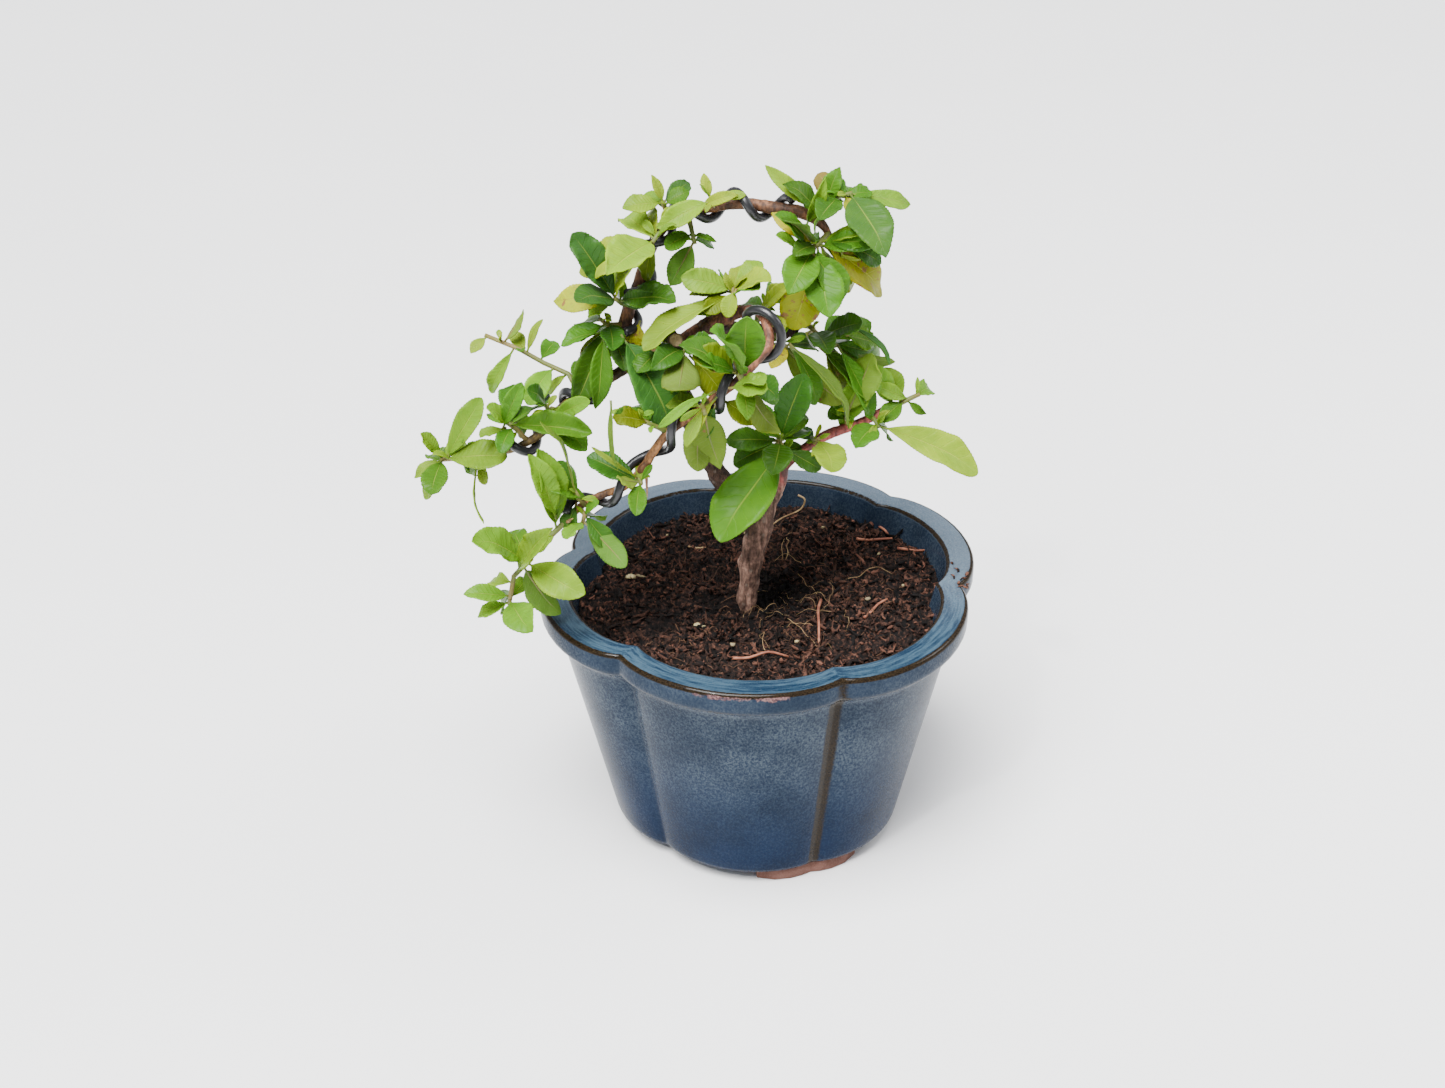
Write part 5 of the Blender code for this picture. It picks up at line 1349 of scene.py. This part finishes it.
# Leaves that fill the crown out: the foot as (x, y, z), then heading, rise, length, width, roll, arch, fold
# and tint
fillers = [
    ((-36.7, -0.5, 216), 170, -21, 25, 15, 0, 18, 8, "lime"),
    ((-36.1, -0.5, 216), 180, -50, 20, 9, 35, 15, 20, "lime"),
    ((-51.6, -4.7, 188), -112, -64, 24, 9, -20, 25, 30, "mid"),
    ((-45.9, -6.5, 188.2), -40, -51, 35, 22, -12, 24, 24, "blue"),
    ((-37.2, -4.5, 186.5), -130, -59, 15, 9, 25, 30, 30, "grey"),
    ((-16.9, -35.5, 183.4), -157, -26, 20, 3.6, 0, 60, 25, "light"),
    ((-16.3, -34.5, 180.9), -156, -53, 16, 4.5, 10, 25, 25, "lime"),
    ((-12, -39.2, 186.7), -29, 20, 13, 10, 0, 15, 15, "light"),
    ((-5.4, -36, 188.4), -7, -34, 10, 10, 0, 12, 20, "dark"),
    ((-9.9, -31.6, 187.6), -167, 34, 16, 13, 10, 18, 25, "olive"),
    ((7, -4.9, 184.6), -16, -49, 34, 9, -30, 22, 25, "grey"),
    ((23.1, 9.5, 176.9), -23, -63, 28, 9, -20, 20, 30, "mid"),
    ((23.9, 6.5, 146.8), 15, 70, 22, 12, 10, 15, 20, "light"),
    ((13.3, -3.5, 215.3), -23, -54, 18, 12, -10, 18, 20, "mid"),
    ((24.4, 6.8, 212.9), 14, -28, 14, 9, 0, 15, 20, "dark"),
    ((-7.2, -37.7, 191.3), -108, 74, 20, 16, -10, 12, 25, "mid"),
    ((-10.1, -6.5, 203.9), -127, -49, 9, 7, 10, 15, 25, "lime"),
    ((-67, -32, 136.8), -148, 72, 25, 11, 10, 15, 30, "light"),
    ((-21.3, 9.5, 225.1), -15, 24, 13, 5, 20, 20, 30, "lime"),
    ((-53.1, -1.5, 186.8), -153, -3, 13, 7, 30, 18, 30, "mid"),
    ((-52, 2.1, 185.1), -148, -50, 15, 6, 20, 10, 25, "light"),
    ((-49.6, 3.5, 184), -73, -22, 15, 9, 0, 30, 35, "blue"),
    ((-40.6, 3.5, 188.3), -142, -66, 8, 8, 0, 10, 10, "yellow"),
    ((-30.2, -3.5, 187.8), -158, 3, 8, 6, 10, 10, 15, "yellow"),
    ((-33.9, -9.5, 184.8), -130, -23, 11, 9, 20, 15, 20, "dark"),
    ((-21.3, -13.5, 186.7), -10, -21, 12, 11, 0, 12, 12, "mid"),
    ((-26.9, -13.5, 184), 167, -58, 17, 12, -10, 15, 15, "mid"),
    ((-84.6, -10.5, 157.5), -42, 64, 20, 7, 25, 15, 30, "mid"),
    ((-84, -10.5, 157.5), -144, -1, 9, 6, 10, 12, 20, "light"),
    ((11.8, 8.5, 218.9), -57, 61, 20, 6, 60, 12, 40, "light"),
    ((16, 2, 215), -26, 16, 17, 9, 15, 15, 25, "mid"),
    ((22.4, 3.5, 213), 46, -67, 18, 14, 10, 10, 10, "lime"),
    ((11.6, 0.5, 216.3), -146, 49, 16, 8, 0, 12, 20, "mid"),
    ((10.4, 0.5, 214.3), -165, 35, 10, 6, 15, 12, 20, "light"),
    ((27.9, 6.5, 219.1), 14, -42, 11, 8, 0, 12, 15, "dark"),
    ((17.6, 14, 173.9), -22, -39, 24, 12, -15, 22, 25, "mid"),
    ((26.4, 12.9, 183.1), -29, -31, 19, 6, -40, 20, 30, "blue"),
    ((-3, 4.3, 190.7), -33, 50, 17, 6, 10, 10, 30, "lime"),
    ((-3, 3.9, 190.5), -42, -3, 12, 6, -10, 10, 30, "lime"),
    ((-48.6, -29.5, 176.9), -75, -73, 22, 4, 60, 10, 20, "grey"),
    ((-56.4, -27.5, 140.7), -159, 34, 17, 9, 10, 12, 20, "mid"),
    ((-60.9, -26.9, 138.9), -129, -55, 9, 7, 0, 12, 20, "dark"),
    ((-16.3, -29.5, 175.8), -143, -57, 12, 8, 0, 12, 15, "dark"),
    ((-14.4, -29.5, 177.9), -16, -33, 13, 10, 10, 12, 15, "olive"),
    ((-32.5, 9.3, 225.6), 14, 26, 9, 7, 0, 12, 15, "mid"),
    ((24.5, 7.5, 229.6), 147, 20, 8, 8, 10, 12, 15, "mid"),
    ((26.3, 4.8, 152.2), 153, 12, 7, 6, 0, 12, 15, "mid"),
    ((-69.1, -10.1, 160.9), -32, 34, 18, 7, 30, 12, 25, "light"),
    ((-103.6, -9.1, 145.3), 27, 54, 15, 8, -10, 12, 20, "mid"),
    ((-24.4, -15.5, 185.6), -24, -39, 16, 11, 10, 15, 18, "olive"),
    ((-31.4, -9.5, 184.1), 157, -63, 22, 11, 5, 15, 15, "dark"),
    ((18.2, 13.9, 175.1), -20, -68, 23, 11, -25, 20, 25, "olive"),
    ((7.1, -2.5, 182.7), -11, -60, 22, 9, -20, 18, 25, "mid"),
    ((25.8, 12.5, 179.3), 21, -27, 12, 9, 0, 12, 20, "mid"),
    ((-10.2, -32.7, 188.8), -151, 27, 14, 10, 20, 15, 20, "mid"),
    ((-10.4, -2.5, 201.4), 35, 36, 13, 9, 0, 12, 20, "lime"),
    ((-11.9, -2.5, 200.1), -152, -23, 12, 8, 10, 12, 20, "light"),
    ((-45.1, 2.2, 195.1), 29, 7, 13, 11, 0, 12, 20, "mid"),
    ((-49, -0.5, 197.1), -152, -23, 9, 7, 20, 12, 20, "light"),
    ((-49.5, 3.1, 185.6), 19, -45, 13, 10, 0, 12, 20, "olive"),
    ((13.2, 1.5, 144.3), -155, 0, 10, 7, 0, 12, 20, "dark"),
    ((3.9, -10.3, 152.7), -156, 59, 19, 9, -15, 15, 20, "mid"),
]


def leafFinish(name, under):
    # UV runs across the blade in x and from stalk to tip in y
    finish = Finish(name, Subsurface_Weight=0.1, Subsurface_Radius=(0.5, 1.0, 0.05), Subsurface_Scale=0.001,
                    Specular_IOR_Level=0.10)
    uv = finish.node("TexCoord", output="UV")
    across = finish.node("SeparateXYZ", None, {0: uv}, "X")
    along = finish.node("SeparateXYZ", None, {0: uv}, "Y")
    seed = finish.mark("seed")
    tint = finish.mark("tint", "Color")
    gloss = finish.mark("gloss")
    spotty = finish.mark("spotty")
    side = (across - 0.5).size() * 2.0
    wobble = (finish.grain(0.35, 2.0) - 0.5) * 0.5
    rib = side.between(0.055, 0.015) * along.between(1.0, 0.6)
    slant = along * (9.0 + seed * 3.0) - side * 1.7 + side * side * 0.25 + wobble
    vein = ((slant.fraction() - 0.5).size()).between(0.42, 0.5) * side.between(0.99, 0.6)
    net = finish.cells(1.15, "DISTANCE_TO_EDGE").between(0.09, 0.0)
    cloud = finish.grain(0.12, 3.0, None, 0.6)
    fine = finish.grain(1.6, 3.0)
    edge = side.between(0.82, 1.0)
    if under:
        body = finish.mixed(0.35, tint, (0.120, 0.195, 0.030))
        ribTint = finish.mixed(0.6, tint, (0.30, 0.36, 0.12))
        finish.bump(rib.most(vein * 0.55).most(net * 0.22) * 1.2 + fine * 0.1, 0.12, 0.7)
        lines = vein * 0.35 + net * 0.15
        veinTint = finish.mixed(0.5, tint, (0.22, 0.28, 0.09))
        rough = 0.62 + fine * 0.15
    else:
        light = finish.times(tint, (1.6, 1.4, 1.1))
        body = finish.mixed(cloud.between(0.35, 0.7) * 0.5, tint, light)
        body = finish.mixed((1.0 - side) * 0.2, body, finish.times(body, (0.65, 0.75, 0.7)))
        body = finish.mixed(edge * 0.3, body, finish.times(body, (1.5, 1.3, 0.9)))
        ribTint = finish.mixed(0.4, light, (0.26, 0.32, 0.05))
        veinTint = finish.times(body, (1.75, 1.5, 1.5))
        puff = ((slant * math.tau).wave() * side.between(0.0, 0.5)) * 0.15
        finish.bump(puff - rib * 0.8 - vein * 0.35 + fine * 0.1 + cloud * 1.2, 0.32, 0.8)
        lines = vein * 0.27 + net * 0.08
        rough = 0.46 - gloss * 0.16 + fine * 0.1
    body = finish.mixed(lines, body, veinTint)
    colour = finish.mixed(rib, body, ribTint)
    blotch = (finish.grain(0.22, 4.0, None, 0.65) + spotty * 0.13).between(0.66, 0.72)
    blotch = blotch * spotty.between(0.0, 0.2)
    freckle = finish.cells(0.45).between(0.28, 0.18) * spotty.between(0.1, 0.9) * 0.8
    scorched = finish.mixed(fine, (0.10, 0.045, 0.015), (0.26, 0.14, 0.05))
    colour = finish.mixed(blotch.most(freckle), colour, scorched)
    return finish.feed(Base_Color=colour, Roughness=rough)


def stemFinish():
    finish = Finish("youngStem", Subsurface_Weight=0.05, Subsurface_Scale=0.001)
    patch = finish.grain(0.09, 3.0)
    fine = finish.grain(1.5, 3.0)
    green = finish.mixed(patch.between(0.35, 0.65), (0.090, 0.130, 0.014), (0.170, 0.125, 0.030))
    finish.bump(fine, 0.12, 0.5)
    return finish.feed(Base_Color=finish.mixed(fine.between(0.55, 0.8) * 0.5, green, (0.26, 0.20, 0.07)),
                       Roughness=0.5 + fine * 0.2)


def stemRoute(points, woodTree):
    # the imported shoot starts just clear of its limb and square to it, then follows its own points
    spot, outward, _, _ = woodTree.find_nearest(toWorld(points[1]))
    foot = toPlant(spot) + outward * leaves["footGap"]
    route = [foot, foot + outward * leaves["lift"]]
    return route + [Vector(point) for point in points[1:]
                    if (Vector(point) - foot).length > 1.5 * leaves["lift"]]


def leafFrame(heading, rise, roll):
    # along the leaf, across it, and out of its upper face, which turns to the light before it rolls
    along = direction(heading, rise)
    normal = leaves["light"] - leaves["light"].dot(along) * along
    if normal.length < 0.05:
        normal = Vector((0.0, 0.0, 1.0)).cross(along)
    normal.normalize()
    normal.rotate(Matrix.Rotation(math.radians(roll), 3, along))
    return along, along.cross(normal), normal


def packedPoint(base, leaf, turn, share, across):
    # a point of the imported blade, to find which way that blade was bent clear of its neighbours
    heading, rise, length, width, roll, arch, fold = leaf[1:8]
    along, side, normal = leafFrame(heading + turn[0], rise + turn[1], roll + turn[2])
    lean = 0.0 if width < leaves["narrow"] else math.radians(fold)
    half = 0.5 * width * share ** 0.8 * (1.0 - share) ** 0.5 / 0.4205
    lift = 0.01 * arch * length * share * (1.0 - share) + abs(across) * half * math.sin(lean)
    reach = leaves["start"] + (length - leaves["start"]) * share
    return base + along * reach + normal * lift + side * (across * half * math.cos(lean))


def packedTurn(base, leaf, surface):
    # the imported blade's turn, or None where it was left out
    best, found = leaves["closeEnough"], None
    for turn in leaves["turns"]:
        total = 0.0
        for share, across in leaves["tests"]:
            spot = toWorld(packedPoint(base, leaf, turn, share, across))
            total += surface.find_nearest(spot)[3] / mm
        if total / len(leaves["tests"]) < best:
            best, found = total / len(leaves["tests"]), turn
    return found


class Blade:
    # one leaf: where its midrib runs, and how its blade folds, twists and waves
    def __init__(self, base, leaf, turn):
        heading, rise, self.length, self.width, roll, self.arch, fold = leaf[1:8]
        self.base = base
        self.along, self.side, self.normal = leafFrame(heading + turn[0], rise + turn[1], roll + turn[2])
        self.lean = math.radians(fold if self.width >= leaves["narrow"] else max(8.0, 0.7 * fold))
        self.seed = dice.random()
        self.bend = dice.uniform(*leaves["bend"]) * self.length
        self.twist = math.radians(dice.uniform(*leaves["twist"]))
        self.droop = dice.uniform(*leaves["droop"]) * self.length
        self.ripple = dice.uniform(*leaves["ripple"]) * self.width
        self.tipShape = dice.uniform(*leaves["tipShape"])
        self.footShape = dice.uniform(*leaves["footShape"])
        self.full = dice.uniform(*leaves["full"]) * (1.0 - 0.012 * max(0.0, self.width - 14.0))

    def half(self, share):
        # half the width: a short stalk, then a blade that is widest past the middle
        blade = max(0.0, (share - 0.07) / 0.93)
        widest = self.footShape / (self.footShape + self.tipShape)
        most = widest ** self.footShape * (1.0 - widest) ** self.tipShape / self.full
        width = 0.5 * self.width * blade ** self.footShape * max(0.0, 1.0 - blade) ** self.tipShape / most
        return max(width, 0.32 * (1.0 - share) ** 0.3 if share < 1.0 else 0.04)

    def toothed(self, share, across, row):
        # the half width where teeth cut the edge; they point to the tip
        cut = (0.0, 1.0, 0.5)[row % 3] * (0.7 + 0.6 * math.sin(row * 2.3 + self.seed * 9.0) ** 2)
        cut *= leaves["toothDepth"] * min(1.0, self.width / 10.0)
        cut *= smoothstep(0.7, 1.0, abs(across)) * smoothstep(0.2, 0.4, share)
        return max(0.04, self.half(share) - cut)

    def point(self, share, across, half, under=0.0):
        turn = Matrix.Rotation(self.twist * share * share, 3, self.along)
        side, normal = turn @ self.side, turn @ self.normal
        lift = 0.01 * self.arch * self.length * share * (1.0 - share)
        lift += abs(across) ** 1.15 * half * math.sin(self.lean)
        wave = math.sin(share * 15.0 + self.seed * 20.0 + (1.6 if across > 0 else 0.0))
        wave += 0.5 * math.sin(share * 31.0 + self.seed * 50.0 + (2.4 if across > 0 else 0.0))
        lift += self.ripple * wave * across ** 2 * share * smoothstep(1.0, 0.9, share)
        lift -= self.droop * smoothstep(0.55, 1.0, share) ** 2 + under
        slide = self.bend * share * share + across * half * math.cos(self.lean)
        reach = leaves["start"] + (self.length - leaves["start"]) * share
        return self.base + self.along * reach + normal * lift + side * slide


def addBlade(shape, base, leaf, turn, layers):
    # draws the blade as a grid and returns the route of its midrib and stalk
    blade = Blade(base, leaf, turn)
    colour, spotty, gloss = leaves["tints"][leaf[8]]
    rows = max(4, round(blade.length / leaves["toothStep"])) * 3
    spread = leaves["shadeSpread"]
    warm = 1.0 + dice.uniform(-spread, spread)
    bright = 1.0 + dice.uniform(-spread, spread)
    shade = (colour[0] * warm * bright, colour[1] * bright, colour[2] * bright, 1.0)
    made = bmesh.ops.create_grid(shape, x_segments=leaves["columns"], y_segments=rows, size=0.5,
                                 calc_uvs=True)
    for vert in made["verts"]:
        row = round((vert.co.y + 0.5) * rows)
        across = 2.0 * vert.co.x
        vert.co = toWorld(blade.point(row / rows, across, blade.toothed(row / rows, across, row)))
        vert[layers["tint"]] = shade
        vert[layers["seed"]] = blade.seed
        vert[layers["spotty"]] = spotty
        vert[layers["gloss"]] = gloss
    line = [(*(base - blade.along * leaves["start"]), 0.42)]
    for step in range(1, 10):
        share = step / 10
        thick = (0.42 - 0.36 * share) * min(1.0, 0.5 + blade.width / 20.0)
        line.append((*blade.point(share, 0.0, 0.0, 0.5 * thick), thick))
    return line


def thickBlades(shape):
    # gives the blades their thickness, with the underside in a finish of its own
    bmesh.ops.remove_doubles(shape, verts=shape.verts, dist=4 * weld)
    mesh = meshOf(shape, "blades")
    mesh.materials.append(None)
    mesh.materials.append(None)
    item = addItem("blades", mesh)
    solid = item.modifiers.new("thickness", "SOLIDIFY")
    solid.thickness = leaves["thick"] * mm
    solid.offset = 0.0
    solid.use_even_offset = False
    solid.material_offset = 1
    return bakedMesh(item)


def leafLayers(shape):
    # what the leaf finishes read from each vertex
    layers = {"tint": shape.verts.layers.float_color.new("tint")}
    for word in ("seed", "spotty", "gloss"):
        layers[word] = shape.verts.layers.float.new(word)
    shape.loops.layers.uv.new("UVMap")
    return layers


def leafPiece(name, shape, stems, nodes):
    # blades and stems in one mesh, with a finish each for tops, undersides and stems
    group = bmesh.new()
    addMesh(group, thickBlades(shape))
    for face in stems.faces:
        face.material_index = 2
    addMesh(group, meshOf(stems, "stems"))
    pieceFrom(name, group, leafFinishes, nodes)


def makeShoots():
    woodTree = nodeTree("wood")
    lost = 0
    for name, (points, rows) in shoots.items():
        surface = nodeTree(name)
        route = stemRoute(points, woodTree)
        shape = bmesh.new()
        layers = leafLayers(shape)
        knots = [route[0] - (route[1] - route[0]).normalized() * 1.4] + route     # starts inside the limb
        first, last = leaves["stemRadii"]
        lines = [[(*point, first + (last - first) * index / (len(knots) - 1))
                  for index, point in enumerate(knots)]]
        for leaf in rows:
            base = placeOn(route, min(leaf[0], 1.0 - leaves["stemEnd"] / routeLength(route)))
            turn = packedTurn(base, leaf, surface)
            if turn is None:
                lost += 1
                continue
            lines.append(addBlade(shape, base, leaf, turn, layers))
        leafPiece("leaves_" + name, shape, tubes(lines, 6), [name])
    print("blades that the packed solids leave out:", lost)


def makeFillers():
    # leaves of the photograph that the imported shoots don't have
    shape = bmesh.new()
    layers = leafLayers(shape)
    lines = [addBlade(shape, Vector(leaf[0]), leaf, (0, 0, 0), layers) for leaf in fillers]
    leafPiece("fillerLeaves", shape, tubes(lines, 6), [])


def makeTufts():
    # tiny young leaves where the larger ones leave their stems
    shape = bmesh.new()
    layers = leafLayers(shape)
    lines = []
    woodTree = nodeTree("wood")
    for points, _ in shoots.values():
        route = stemRoute(points, woodTree)
        for _ in range(leaves["tuftsEach"]):
            base = placeOn(route, dice.uniform(0.25, 0.95))
            length = dice.uniform(*leaves["tuftLengths"])
            leaf = (base, dice.uniform(-180.0, 180.0), dice.uniform(-30.0, 75.0), length,
                    length * dice.uniform(0.28, 0.5), dice.uniform(-30.0, 30.0), 20, 25,
                    dice.choice(("light", "lime", "mid", "pale")))
            lines.append(addBlade(shape, base, leaf, (0, 0, 0), layers))
    leafPiece("tuftLeaves", shape, tubes(lines, 6), [])


leafFinishes = [leafFinish("leafTop", False), leafFinish("leafUnder", True), stemFinish()]
makeShoots()
makeFillers()
makeTufts()
